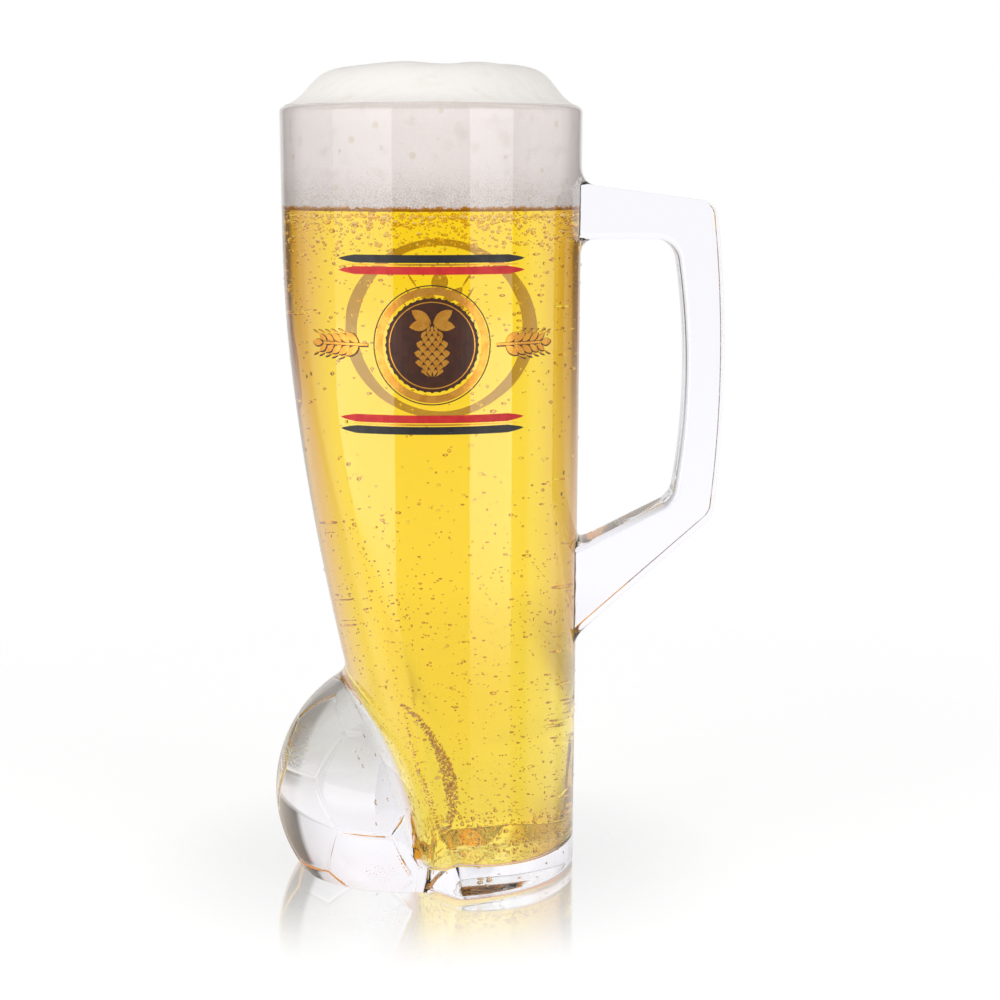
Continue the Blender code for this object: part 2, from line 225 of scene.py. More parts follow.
def colour(red, green, blue):
    """A linear colour as a socket takes it."""
    return (red, green, blue, 1.0)


def blend(share, first, second):
    """A number that runs from first to second as the share runs from 0 to 1."""
    return first + (second - first) * share


WHITE = colour(1, 1, 1)

# %% [markdown]
# ## The studio
# Glass has no look of its own: it shows what stands round it. The mug was taken against a white
# background, which gives the beer its glow, with two tall softboxes in front that mirror as upright
# light bands. What makes the edges of the glass readable is that the white backdrop ends: beside it
# comes a dark gap, and the edges bend the view towards it. Below the horizon lies a pale table, which
# lightens the lower half of the glass.
# Camera rays see white everywhere. Rays that have been inside the glass see the room by its compass
# direction, and those that have also been through beer see it warmer towards both sides. Rays mirrored
# on the outside see a dark front with the softboxes. Matt surfaces get a plain level from all round, a
# little more behind glass, so that pale foam keeps its tone.

# %% Compass directions of the world
BACKDROP_LEAN = 3.5 * DEGREE
TABLE_EDGE = (math.sin(-2 * DEGREE), math.sin(-11 * DEGREE))

world = bpy.data.worlds.new("studio")
world.use_nodes = True
scene.world = world
sky = Recipe(world.node_tree)
sky_place = sky.node("ShaderNodeTexCoord", out="Generated")
sky_x, sky_y, sky_z = sky.node("ShaderNodeSeparateXYZ", None, {0: sky_place}, AXES)
turn = sky.node("ShaderNodeMath", {"operation": "ARCTAN2"}, {0: sky_x, 1: sky_y})
turn = abs(turn + BACKDROP_LEAN)
table = sky.step(sky_z, *TABLE_EDGE)
print("compass: 0 at the backdrop, half a turn at the camera")

# %% What is seen through the glass
BACK_LEVEL = 1.06
BACKDROP_FALL = (14 * DEGREE, 50 * DEGREE)
WALL_LEVEL = 0.74
GAP_EDGE = (42 * DEGREE, 48 * DEGREE)
GAP_LEVEL = 0.13
GAP_TABLE = 0.60
BEER_GAP_LEVEL = 0.18
BEER_GAP_TABLE = 0.70
BEER_CROSSINGS = 3.5
FRONT_EDGE = (98 * DEGREE, 114 * DEGREE)
FRONT_LEVEL = 0.70

rays = ("Is Camera Ray", "Is Glossy Ray", "Diffuse Depth", "Transmission Depth")
is_camera, is_glossy, matt_bounces, crossings = sky.node("ShaderNodeLightPath", out=rays)
in_beer = crossings > BEER_CROSSINGS
side = sky.step(turn, *GAP_EDGE)
front = sky.step(turn, *FRONT_EDGE)
fall = sky.step(turn, *BACKDROP_FALL)
backdrop = blend(fall, BACK_LEVEL, WALL_LEVEL)
clear_gap = blend(table, GAP_LEVEL, GAP_TABLE)
beer_gap = blend(table, BEER_GAP_LEVEL, BEER_GAP_TABLE)
gap = blend(in_beer, clear_gap, beer_gap)
refracted = backdrop * (1 - side) + gap * (side - front) + FRONT_LEVEL * front
print("through the glass: backdrop, dark gaps beside it and a pale table")

# %% What the outside of the glass mirrors
MIRRORED_WHITE = 0.84
MIRRORED_DARK = 0.10
MIRRORED_TABLE = 1.10
MIRRORED_BACK = (20 * DEGREE, 30 * DEGREE)
MIRRORED_SIDE = (48 * DEGREE, 60 * DEGREE)
MIRRORED_FRONT = (106 * DEGREE, 118 * DEGREE)
MIRRORED_PANEL = 1.5
PANEL_SIDE = (60 * DEGREE, 70 * DEGREE)
PANEL_FRONT = (98 * DEGREE, 106 * DEGREE)

dark = sky.step(turn, *MIRRORED_BACK) - sky.step(turn, *MIRRORED_SIDE)
dark = dark + sky.step(turn, *MIRRORED_FRONT)
dim = blend(table, MIRRORED_DARK, MIRRORED_TABLE)
panel = sky.step(turn, *PANEL_SIDE) - sky.step(turn, *PANEL_FRONT)
mirrored = blend(dark, MIRRORED_WHITE, dim) + (MIRRORED_PANEL - MIRRORED_WHITE) * panel
print("mirrored: white backdrop, a panel on each side and a dark front")

# %% Which ray sees what
WORLD_AMBIENT = 0.60
THROUGH_SIDES = 0.88
THROUGH_FRONT = 1.92
THROUGH_EDGE = (110 * DEGREE, 150 * DEGREE)
NOT_ONCE = 0.5

was_inside = crossings > NOT_ONCE
from_matt = matt_bounces > NOT_ONCE
through = blend(sky.step(turn, *THROUGH_EDGE), THROUGH_SIDES, THROUGH_FRONT)
on_matt = blend(was_inside, WORLD_AMBIENT, through)
on_glass = blend(was_inside, mirrored, refracted)
level = blend(is_glossy, WORLD_AMBIENT, on_glass)
level = blend(from_matt, level, on_matt)
level = blend(is_camera, level, 1.0)
print("camera rays see plain white, matt surfaces", WORLD_AMBIENT, "from all round")

# %% The tint seen through beer
WALL_COLOUR = colour(1.0, 0.86, 0.72)
WARM_COLOUR = colour(0.88, 0.62, 0.45)
WARM_EDGE = (20 * DEGREE, 38 * DEGREE)
WARM_LOW = 0.6
BEER_GAP_COLOUR = colour(1.0, 0.62, 0.30)

through_beer = in_beer * (1 - from_matt)
edge = sky.step(turn, *WARM_EDGE) * (1 - WARM_LOW * table)
tint = sky.mix(fall * through_beer, WHITE, WALL_COLOUR)
tint = sky.mix(edge * through_beer, tint, WARM_COLOUR)
tint = sky.mix((side - front) * through_beer, tint, BEER_GAP_COLOUR)
background = sky.node("ShaderNodeBackground", None, {"Color": tint, "Strength": level})
sky.node("ShaderNodeOutputWorld", None, {"Surface": background})
print("world nodes:", len(sky.tree.nodes))

# %% [markdown]
# ## The softboxes
# A softbox does two jobs: it lights the foam and the print, and it mirrors as a bright upright band. So
# each one is a lamp that no mirror shows and a glowing panel that only mirrors show. The panel is
# brightest low down and fades out upwards, as the bands on the glass do.

# %% Glow of a panel
SOFTBOX_PANEL = 3.9
SOFTBOX_UPPER = 2.4
UPPER_FROM = (0.085, 0.105)
SOFTBOX_LOWER = 1.6
LOWER_FROM = (0.0, -0.12)
PANEL_FADE = (0.75, 0.22)


def softbox_glow(name):
    material, glow = new_material(name)
    up = glow.place()[3]
    level = blend(glow.step(up, *UPPER_FROM), SOFTBOX_PANEL, SOFTBOX_UPPER)
    level = level + (SOFTBOX_LOWER - SOFTBOX_PANEL) * glow.step(up, *LOWER_FROM)
    level = level * glow.step(up, *PANEL_FADE)
    light = glow.node("ShaderNodeEmission", None, {"Color": WHITE, "Strength": level})
    glow.node("ShaderNodeOutputMaterial", None, {"Surface": light})
    return material


# %% Lamps that light the mug and panels that mirror in it
SOFTBOX_DISTANCE = 0.62
SOFTBOX_HEIGHT = 0.80
SOFTBOX_LAMP = 2.0
PANEL_BELOW = 0.25


def hide_from(item, *rays):
    """Keep an object out of what the named kinds of ray see."""
    for ray in rays:
        setattr(item, "visible_" + ray, False)


def stand_lamp(name, place, facing, width):
    lamp = bpy.data.lights.new(name, "AREA")
    lamp.shape = "RECTANGLE"
    lamp.size = width
    lamp.size_y = SOFTBOX_HEIGHT
    lamp.energy = SOFTBOX_LAMP * math.pi * width * SOFTBOX_HEIGHT
    holder = bpy.data.objects.new(name, lamp)
    holder.location = place
    holder.rotation_euler = facing.to_euler()
    scene.collection.objects.link(holder)
    hide_from(holder, "glossy", "transmission", "camera")


def stand_panel(name, place, facing, width):
    """The glowing face of a softbox, which reaches further down than its lamp."""
    top = SOFTBOX_HEIGHT / 2
    foot = -top - PANEL_BELOW
    corners = [(x * width / 2, y, 0) for x, y in ((-1, foot), (1, foot), (1, top), (-1, top))]
    mesh = bpy.data.meshes.new(name + "_panel")
    mesh.from_pydata([facing @ Vector(corner) + place for corner in corners], [], [(0, 1, 2, 3)])
    mesh.materials.append(softbox_glow(name + "_glow"))
    panel = bpy.data.objects.new(name + "_panel", mesh)
    scene.collection.objects.link(panel)
    hide_from(panel, "camera", "diffuse", "transmission", "shadow")
    panel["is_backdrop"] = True


def stand_softbox(name, turn_from, turn_to):
    """A tall softbox in front of the mug between two angles from the camera's side, in degrees."""
    middle = (turn_from + turn_to) / 2 * DEGREE
    half = abs(turn_to - turn_from) / 2 * DEGREE
    width = 2 * SOFTBOX_DISTANCE * math.tan(half)
    place = Vector((math.sin(middle), -math.cos(middle), 0)) * SOFTBOX_DISTANCE
    place.z = SOFTBOX_HEIGHT / 2
    facing = Euler((math.pi / 2, 0, middle)).to_matrix()
    stand_lamp(name, place, facing, width)
    stand_panel(name, place, facing, width)
    print(name + ":", round(width, 2), "m wide")


stand_softbox("softbox_left", turn_from=-74, turn_to=-26)
stand_softbox("softbox_right", turn_from=30, turn_to=64)

# %% [markdown]
# ## The floor
# The mug stands on polished white: close to the foot it mirrors, and the mirror image fades out a few
# centimetres in front. The floor fades into the white background, so no horizon shows. Seen through the
# mug it is darker to both sides, as if black cards stood there, and warm where the view goes through
# beer.

# %% Floor
FLOOR_REACH = 0.9
FLOOR_BELOW = 0.02 * MM

floor_mesh = bpy.data.meshes.new("floor")
floor_corners = [(-1, -1), (1, -1), (1, 1), (-1, 1)]
floor_points = [(x * FLOOR_REACH, y * FLOOR_REACH, -FLOOR_BELOW) for x, y in floor_corners]
floor_mesh.from_pydata(floor_points, [], [(0, 1, 2, 3)])
floor = bpy.data.objects.new("floor", floor_mesh)
scene.collection.objects.link(floor)
print("floor:", 2 * FLOOR_REACH, "m wide")

# %% White of the floor
FLOOR_WHITE = 0.80
FLOOR_MATT = colour(0.25, 0.25, 0.25)
REFRACTED_SHARE = 0.82
FOOT_PAINTED_LIGHT = 1.08
FOOT_EDGE = (48 * MM, 38 * MM)
CARD_EDGE = (75 * MM, 130 * MM)
CARD_SHADE = 0.65
CARD_COLOUR = colour(1.0, 0.70, 0.40)

floor_material, lay = new_material("polished_white")
_, floor_x, floor_y, _ = lay.place()
away = (floor_x * floor_x + floor_y * floor_y) ** 0.5
rays = ("Is Camera Ray", "Is Glossy Ray", "Is Transmission Ray", "Transmission Depth")
is_camera, is_glossy, refracted, crossings = lay.node("ShaderNodeLightPath", out=rays)
mirrored = is_glossy * (1 - refracted)
card = lay.step(abs(floor_x), *CARD_EDGE) * refracted
# Painted light: right under the foot the floor is drawn brighter for rays that come through the glass, a
# pool of light that shows in the base.
under = blend(lay.step(away, *FOOT_EDGE), REFRACTED_SHARE, FOOT_PAINTED_LIGHT) * (1 - CARD_SHADE * card)
shown = is_camera + mirrored + refracted * under
tint = lay.mix(card * (crossings > BEER_CROSSINGS), WHITE, CARD_COLOUR)
glow = lay.node("ShaderNodeEmission", None, {"Color": tint, "Strength": shown * FLOOR_WHITE})
matt = lay.node("ShaderNodeBsdfDiffuse", None, {"Color": FLOOR_MATT})
base = lay.node("ShaderNodeAddShader", None, {0: matt, 1: glow})
print("floor as bright as", FLOOR_WHITE, "of the background")

# %% Polish of the floor, and how it fades out
MIRROR_SHARE = 0.55
MIRROR_EDGE = (36 * MM, 88 * MM)
POLISH_ROUGHNESS = 0.03
FLOOR_FADE = (0.16, 0.42)

dull = lay.step(away, *MIRROR_EDGE)
gloss = lay.node("ShaderNodeBsdfGlossy", None, {"Color": WHITE, "Roughness": POLISH_ROUGHNESS})
polished = lay.node("ShaderNodeMixShader", None, {0: (1 - dull) * MIRROR_SHARE, 1: base, 2: gloss})
fade = lay.step(away, *FLOOR_FADE)
fade = fade + (1 - fade) * mirrored * dull
gone = lay.node("ShaderNodeBsdfTransparent")
surface = lay.node("ShaderNodeMixShader", None, {0: fade, 1: polished, 2: gone})
lay.node("ShaderNodeOutputMaterial", None, {"Surface": surface})
floor_mesh.materials.append(floor_material)
floor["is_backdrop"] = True
print("floor nodes:", len(lay.tree.nodes))

# %% [markdown]
# ## The cup's form
# In plan the cup is a circle that widens a little towards the rim. On the ball's side a second, larger
# circle cuts into it, further the lower down: that is the scoop, and where the two circles cross they
# make the long crease that runs down each flank. Both are written as distances from a wall, so that the
# crease can be rounded by a smooth maximum, and so that the same rule, moved inwards by the thickness
# of the glass, gives the inside.

# %% Rules for the walls
BODY_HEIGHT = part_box("mug_body")[1].z
RIM_RADIUS = 38.5 * MM
FOOT_RADIUS = 36.9 * MM
WALL_AT_RIM = 3.0 * MM
WALL_AT_FOOT = 5.0 * MM
FLOOR_THICKNESS = 6.0 * MM
FLOOR_FILLET = 2.5 * MM
FOOT_EDGE_ROUND = 1.5 * MM
RIM_ROUND = WALL_AT_RIM / 2
SCOOP_RISE = 166.0 * MM
SCOOP_DEPTH = 28.1 * MM
SCOOP_BOW = 1.7
SCOOP_RADIUS = RIM_RADIUS + 10.0 * MM
CREASE_OUTSIDE = 1.6 * MM
CREASE_INSIDE = 3.0 * MM
CREASE_AT_FLOOR = 24.0 * MM
CREASE_ROUND_FROM = 52.0 * MM
CREASE_ROUND_TO = 14.0 * MM
CREASE_FADE = 150 * DEGREE


def cone_radius(height):
    return FOOT_RADIUS + (RIM_RADIUS - FOOT_RADIUS) * height / BODY_HEIGHT


def wall_thickness(height):
    return WALL_AT_FOOT + (WALL_AT_RIM - WALL_AT_FOOT) * height / BODY_HEIGHT


def crease_inside(height):
    """Rounding of the crease inside: the plunger that pressed the cavity was rounder near the floor."""
    share = np.clip((CREASE_ROUND_FROM - height) / (CREASE_ROUND_FROM - CREASE_ROUND_TO), 0, 1)
    return CREASE_INSIDE + (CREASE_AT_FLOOR - CREASE_INSIDE) * share * share * (3 - 2 * share)


def scoop_centre(height):
    depth = SCOOP_DEPTH * np.clip(1 - height / SCOOP_RISE, 0, None) ** SCOOP_BOW
    return SCOOP_RADIUS - cone_radius(height) + depth


def smooth_max(first, second, rounding):
    """The larger of two distances, with the edge between them rounded."""
    share = np.clip(0.5 + 0.5 * (first - second) / rounding, 0, 1)
    return second + (first - second) * share + rounding * share * (1 - share)


def smooth_min(first, second, rounding):
    """The smaller of two distances, with a fillet between them."""
    return -smooth_max(-first, -second, rounding)


def wall_distance(points, inset=0.0, rounding=CREASE_OUTSIDE):
    """Distance outside the cup's wall, moved inwards by inset."""
    x, y, height = points[..., 0], points[..., 1], points[..., 2]
    round_wall = np.hypot(x, y) - cone_radius(height)
    scoop = np.hypot(x - scoop_centre(height), y) - SCOOP_RADIUS
    return smooth_max(round_wall, scoop, rounding) + inset


print("glass", round(BODY_HEIGHT / MM, 1), "mm high,", round(2 * RIM_RADIUS / MM, 1), "mm wide at the rim")

# %% Sections of the cup
FLANK_STEPS = 50
HANDLE_ZONE = 16 * DEGREE
HANDLE_STEPS = 44
SCOOP_STEPS = 60
SOLVER_STEPS = 6
EVEN_SHARE = 0.55
EASED_SHARE = 0.45


def eased(start, end, steps):
    """Values from start to end, closer together at both ends."""
    even = np.linspace(-1, 1, steps + 1)
    share = EVEN_SHARE * even + EASED_SHARE * (1.5 * even - 0.5 * even ** 3)
    return start + (end - start) * (share + 1) / 2


def section(height, inset=0.0, rounding=CREASE_OUTSIDE):
    """One horizontal ring of the wall, with the closest steps at the creases."""
    cone = cone_radius(height) - inset
    face = SCOOP_RADIUS - inset
    centre = scoop_centre(height)
    crossing = (cone ** 2 - face ** 2 + centre ** 2) / (2 * centre)
    crease = min(math.acos(np.clip(crossing / cone, -1, 1)), CREASE_FADE)
    angles = np.concatenate([
        eased(-crease, -HANDLE_ZONE, FLANK_STEPS)[:-1],
        np.linspace(-HANDLE_ZONE, HANDLE_ZONE, HANDLE_STEPS + 1)[:-1],
        eased(HANDLE_ZONE, crease, FLANK_STEPS)[:-1],
        eased(crease, 2 * math.pi - crease, SCOOP_STEPS)[:-1],
    ])
    ray = np.stack([np.cos(angles), np.sin(angles)], -1)
    scoop = centre * ray[:, 0] + np.sqrt(face ** 2 - (centre * ray[:, 1]) ** 2)
    radius = np.minimum(cone, scoop)
    for _ in range(SOLVER_STEPS):
        points = np.column_stack([ray * radius[:, None], np.full(len(angles), height)])
        radius = radius - wall_distance(points, inset, rounding)
    return np.column_stack([ray * radius[:, None], np.full(len(angles), height)])


def cavity_section(height, inset=0.0):
    """A ring of the wall's inside, moved further in by inset."""
    return section(height, wall_thickness(height) + inset, crease_inside(height))


print("points in a ring:", len(section(BODY_HEIGHT)))

# %% From rings to a mesh
SHARP_ANGLE = 38 * DEGREE


def finish_mesh(name, points, faces):
    """A smooth-shaded object from points and faces, with its place in its mesh and its faces outwards."""
    mesh = bpy.data.meshes.new(name)
    mesh.from_pydata(np.asarray(points).tolist(), [], faces)
    shape = bmesh.new()
    shape.from_mesh(mesh)
    if shape.calc_volume(signed=True) < 0:
        bmesh.ops.reverse_faces(shape, faces=shape.faces[:])
    shape.to_mesh(mesh)
    shape.free()
    mesh.shade_smooth()
    mesh.set_sharp_from_angle(angle=SHARP_ANGLE)
    piece = bpy.data.objects.new(name, mesh)
    scene.collection.objects.link(piece)
    return piece


def loft(name, rings):
    """A closed skin through rings of equally many points, with a face across each end."""
    rings = np.asarray(rings)
    count, around, _ = rings.shape
    index = np.arange(count * around).reshape(count, around)
    ahead = np.roll(index, -1, axis=1)
    quads = np.stack([index[:-1], ahead[:-1], ahead[1:], index[1:]], -1).reshape(-1, 4).tolist()
    quads.append(index[0][::-1].tolist())
    quads.append(index[-1].tolist())
    return finish_mesh(name, rings.reshape(-1, 3), quads)


def drawn_in(ring, shares):
    """Copies of a flat ring drawn in towards its middle, so that a flat end is made of small faces."""
    middle = ring.mean(0)
    return [middle + (ring - middle) * share for share in shares]


# %% [markdown]
# ## The glass cup
# The skin runs up the outside, over the rounded rim and down the inside to the thick floor.

# %% Cup
OUTSIDE_ROWS = 170
INSIDE_ROWS = 66
EDGE_ROWS = 8
RIM_ROWS = 14
END_SHARES = (0.35, 0.7, 0.9)


def cup_rings():
    """The skin from the middle of the foot, over the rim, to the middle of the floor inside."""
    rings = []
    for bend in np.linspace(0, math.pi / 2, EDGE_ROWS):
        height = FOOT_EDGE_ROUND * (1 - math.cos(bend))
        rings.append(section(height, FOOT_EDGE_ROUND * (1 - math.sin(bend))))
    rings = drawn_in(rings[0], END_SHARES) + rings
    for height in np.linspace(FOOT_EDGE_ROUND, BODY_HEIGHT - RIM_ROUND, OUTSIDE_ROWS)[1:-1]:
        rings.append(section(height))
    for bend in np.linspace(0, math.pi, RIM_ROWS):
        height = BODY_HEIGHT - RIM_ROUND * (1 - math.sin(bend))
        rounding = CREASE_INSIDE if bend > math.pi / 2 else CREASE_OUTSIDE
        rings.append(section(height, RIM_ROUND * (1 - math.cos(bend)), rounding))
    for height in np.linspace(BODY_HEIGHT - RIM_ROUND, FLOOR_THICKNESS + FLOOR_FILLET, INSIDE_ROWS)[1:-1]:
        rings.append(cavity_section(height))
    for bend in np.linspace(0, math.pi / 2, EDGE_ROWS):
        height = FLOOR_THICKNESS + FLOOR_FILLET * (1 - math.sin(bend))
        rings.append(cavity_section(height, FLOOR_FILLET * (1 - math.cos(bend))))
    rings += drawn_in(rings[-1], END_SHARES[::-1])
    return rings


cup = loft("cup", cup_rings())
print("cup:", len(cup.data.polygons), "faces")

# %% [markdown]
# ## The football
# A football is a truncated icosahedron blown up to a sphere: twelve five-sided and twenty six-sided
# panels. Blender's icosphere with its corners bevelled off gives that net. Insets follow every seam,
# so the groove's faces run along it and it stays crisp.

# %% Ball
BALL_RADIUS = 35.1 * MM
BALL_CENTRE = Vector((-6.5 * MM, 0, 20.0 * MM))
SEAM_DEPTH = 0.20 * MM
SEAM_HALF_WIDTH = 0.42 * MM
SEAM_LOOPS = (0.18 * MM, 0.22 * MM, 0.3 * MM, 0.6 * MM)
PANEL_TURN = (-4.2 * DEGREE, 1.8 * DEGREE, 0.5 * DEGREE)
PANEL_CUTS = 11


def panelled_ball():
    """A ball round the origin whose points know how far they lie from the nearest seam."""
    ball = bmesh.new()
    bmesh.ops.create_icosphere(ball, subdivisions=1, radius=BALL_RADIUS)
    third = min(edge.calc_length() for edge in ball.edges) / 3
    bmesh.ops.bevel(
        ball, geom=ball.verts[:], offset=third, offset_type="OFFSET", affect="VERTICES", segments=1
    )
    from_seam = ball.verts.layers.float.new("from_seam")
    for vert in ball.verts:
        vert.co = vert.co.normalized() * BALL_RADIUS
    panels = ball.faces[:]
    reach = 0.0
    for loop in SEAM_LOOPS:
        reach += loop
        bmesh.ops.inset_individual(ball, faces=panels, thickness=loop, use_even_offset=True)
        for panel in panels:
            for vert in panel.verts:
                vert[from_seam] = reach
    centres = bmesh.ops.poke(ball, faces=panels)["verts"]
    for vert in centres:
        vert[from_seam] = reach
    along = [edge for edge in ball.edges if edge.verts[0][from_seam] == edge.verts[1][from_seam]]
    bmesh.ops.subdivide_edges(ball, edges=along, cuts=PANEL_CUTS, use_grid_fill=True)
    for vert in ball.verts:
        groove = SEAM_DEPTH * math.exp(-(vert[from_seam] / SEAM_HALF_WIDTH) ** 2)
        vert.co = vert.co.normalized() * (BALL_RADIUS - groove)
    return ball


def make_ball():
    """The ball turned as it stands, put in its place and cut flat where it rests."""
    ball = panelled_ball()
    bmesh.ops.rotate(ball, verts=ball.verts[:], matrix=Euler(PANEL_TURN).to_matrix())
    bmesh.ops.translate(ball, verts=ball.verts[:], vec=BALL_CENTRE)
    everything = ball.verts[:] + ball.edges[:] + ball.faces[:]
    cut = bmesh.ops.bisect_plane(
        ball, geom=everything, plane_co=(0, 0, 0), plane_no=(0, 0, -1), clear_outer=True
    )
    edge_loop = [edge for edge in cut["geom_cut"] if isinstance(edge, bmesh.types.BMEdge)]
    bmesh.ops.edgenet_fill(ball, edges=edge_loop)
    bmesh.ops.recalc_face_normals(ball, faces=ball.faces[:])
    mesh = bpy.data.meshes.new("ball")
    ball.to_mesh(mesh)
    ball.free()
    piece = bpy.data.objects.new("ball", mesh)
    scene.collection.objects.link(piece)
    return piece


ball = make_ball()
print("ball:", len(ball.data.polygons), "faces")

# %% [markdown]
# ## Seating the ball
# On the real mug the ball is fused to the wall. The part of it that would reach into the cup is cut off
# with a Boolean by a core, which is the cup's own outside moved in a little. The ball then ends inside
# the wall, and the union further down finds one clean line where the two meet.

# %% Joining and cutting closed forms
def combine(piece, operation, *others):
    """Unite a form with others, or cut them out of it; the others are then removed."""
    for other in others:
        step = piece.modifiers.new("step", "BOOLEAN")
        step.operation = operation
        step.solver = "EXACT"
        step.object = other
    seen = bpy.context.evaluated_depsgraph_get()
    mesh = bpy.data.meshes.new_from_object(piece.evaluated_get(seen))
    piece.modifiers.clear()
    piece.data = mesh
    for other in others:
        bpy.data.objects.remove(other, do_unlink=True)
    return piece


# %% The ball ends inside the wall of the cup
BALL_SUNK = 1.5 * MM
CORE_FOOT = -5.0 * MM
CORE_TOP = 80.0 * MM
CORE_ROWS = 40

core_heights = np.linspace(CORE_FOOT, CORE_TOP, CORE_ROWS)
core = loft("core", [section(height, BALL_SUNK) for height in core_heights])
ball = combine(ball, "DIFFERENCE", core)
print("ball in front of the wall:", len(ball.data.polygons), "faces")

# %% [markdown]
# ## The handle
# Its side view is a bent frame: a level upper arm, a grip that bows outwards and a lower arm that slants
# down to the wall. The view is an outline of straight sides and arcs whose grip is then bowed outwards,
# drawn out to the handle's thickness. Its edges are rounded by stepping the outline inwards along a
# quarter circle, so every corner's arc is wider than that step. The edges round the finger gap are well
# rounded for the hand and show as a grey band from the front, the outer ones are nearly sharp and show
# as a fine line.

# %% Handle outline
GAP_TOP = BODY_HEIGHT - 33.1 * MM
GAP_FOOT = GAP_TOP - 79.7 * MM
GAP_KNEE = GAP_TOP - 66.6 * MM
GAP_WIDTH = 23.7 * MM
GRIP_WIDTH = 10.3 * MM
HANDLE_TOP = GAP_TOP + 14.1 * MM
HANDLE_SHOULDER = GAP_TOP + 9.3 * MM
HANDLE_KNEE = GAP_KNEE - 4.5 * MM
HANDLE_FOOT = GAP_FOOT - 23.7 * MM
BOW_INSIDE = 3.0 * MM
BOW_OUTSIDE = 2.4 * MM
GAP_CORNER = 5.0 * MM
HANDLE_CORNER = 4.0 * MM
HANDLE_SUNK = 1.8 * MM
HANDLE_THICKNESS = 14.5 * MM
HANDLE_EDGE_OUTSIDE = 0.45 * MM
HANDLE_EDGE_INSIDE = 1.7 * MM
ARC_STEPS = 10
BOW_STEPS = 22
BOW_MARGIN = 0.13
ARC_SHARE = 0.9


def rounded_outline(corners):
    """Closed outline through (x, z, radius) corners."""
    points = []
    for index, (x, z, radius) in enumerate(corners):
        corner = Vector((x, z))
        back = Vector(corners[index - 1][:2]) - corner
        ahead = Vector(corners[(index + 1) % len(corners)][:2]) - corner
        if radius == 0:
            points.append(corner)
            continue
        half = back.angle(ahead) / 2
        tangent = min(radius / math.tan(half), ARC_SHARE * back.length, ARC_SHARE * ahead.length)
        reach = tangent * math.tan(half)
        centre = corner + (back.normalized() + ahead.normalized()).normalized() * reach / math.sin(half)
        start = corner + back.normalized() * tangent - centre
        sweep = start.angle_signed(corner + ahead.normalized() * tangent - centre)
        for step in range(ARC_STEPS + 1):
            bend = -sweep * step / ARC_STEPS
            across = Vector((-start.y, start.x))
            points.append(centre + start * math.cos(bend) + across * math.sin(bend))
    return np.array(points)


def upright_side(x, start, end):
    """Points along the straight part of an upright side, between its corners' arcs."""
    shares = np.linspace(BOW_MARGIN, 1 - BOW_MARGIN, BOW_STEPS)
    return [(x, start + (end - start) * share, 0) for share in shares]


def bowed(outline, x, start, end, bow):
    """The outline with the side near x pushed outwards, most in the middle."""
    share = np.clip((outline[:, 1] - start) / (end - start), 0, 1)
    near = np.abs(outline[:, 0] - x) < GRIP_WIDTH / 2
    outline[:, 0] += np.where(near, 4 * bow * share * (1 - share), 0)
    return outline


def handle_outline():
    """Side view of the handle as points (x, z), from the upper root round to it again."""
    inside = cone_radius(GAP_TOP) + GAP_WIDTH
    outside = inside + GRIP_WIDTH
    upper_root = cone_radius(GAP_TOP) - HANDLE_SUNK
    lower_root = cone_radius(GAP_FOOT) - HANDLE_SUNK
    outline = rounded_outline([
        (upper_root, HANDLE_TOP, 0),
        (outside, HANDLE_SHOULDER, HANDLE_CORNER),
        *upright_side(outside, HANDLE_SHOULDER, HANDLE_KNEE),
        (outside, HANDLE_KNEE, HANDLE_CORNER),
        (lower_root, HANDLE_FOOT, 0),
        (lower_root, GAP_FOOT, 0),
        (inside, GAP_KNEE, GAP_CORNER),
        *upright_side(inside, GAP_KNEE, GAP_TOP),
        (inside, GAP_TOP, GAP_CORNER),
        (upper_root, GAP_TOP, 0),
    ])
    outline = bowed(outline, inside, GAP_KNEE, GAP_TOP, BOW_INSIDE)
    return bowed(outline, outside, HANDLE_SHOULDER, HANDLE_KNEE, BOW_OUTSIDE)


print("handle outline:", len(handle_outline()), "points")

# %% Handle
HANDLE_EDGE_ROWS = 12
FACE_MARGIN = 0.35 * MM
ROOT_FROM = 34.0 * MM
ROOT_REACH = 44.0 * MM
ROOT_SLICE = 0.5 * MM
SAME_POINT = 1e-6


def stepped_in(outline, inset):
    """The outline moved inwards along its own normals."""
    along = np.roll(outline, -1, axis=0) - outline
    along /= np.linalg.norm(along, axis=1, keepdims=True)
    normal = np.stack([along[:, 1], -along[:, 0]], -1)
    before = np.roll(normal, 1, axis=0)
    corner = normal + before
    corner /= (corner * normal).sum(1, keepdims=True)
    return outline + corner * inset


def gap_start(outline):
    """Index of the outline's first point on the finger gap's side: the lower root's upper end."""
    lower_root = np.abs(outline[:, 0] - cone_radius(GAP_FOOT) + HANDLE_SUNK) < SAME_POINT
    return np.flatnonzero(lower_root & (np.abs(outline[:, 1] - GAP_FOOT) < SAME_POINT))[0]


def slice_roots(piece):
    """Cut the handle's faces near the wall into small ones, which the fillets need."""
    shape = bmesh.new()
    shape.from_mesh(piece.data)
    across = [((x, 0, 0), (1, 0, 0)) for x in np.arange(ROOT_FROM, ROOT_REACH, ROOT_SLICE)]
    upright = [((0, 0, z), (0, 0, 1)) for z in np.arange(HANDLE_FOOT, HANDLE_TOP, 2 * ROOT_SLICE)]
    for place, normal in across + upright:
        faces = [face for face in shape.faces if face.calc_center_median().x < ROOT_REACH or normal[0]]
        edges = {edge for face in faces for edge in face.edges}
        verts = {vert for edge in edges for vert in edge.verts}
        bmesh.ops.bisect_plane(
            shape, geom=[*verts, *edges, *faces], dist=SAME_POINT, plane_co=place, plane_no=normal
        )
    shape.to_mesh(piece.data)
    shape.free()
    return piece


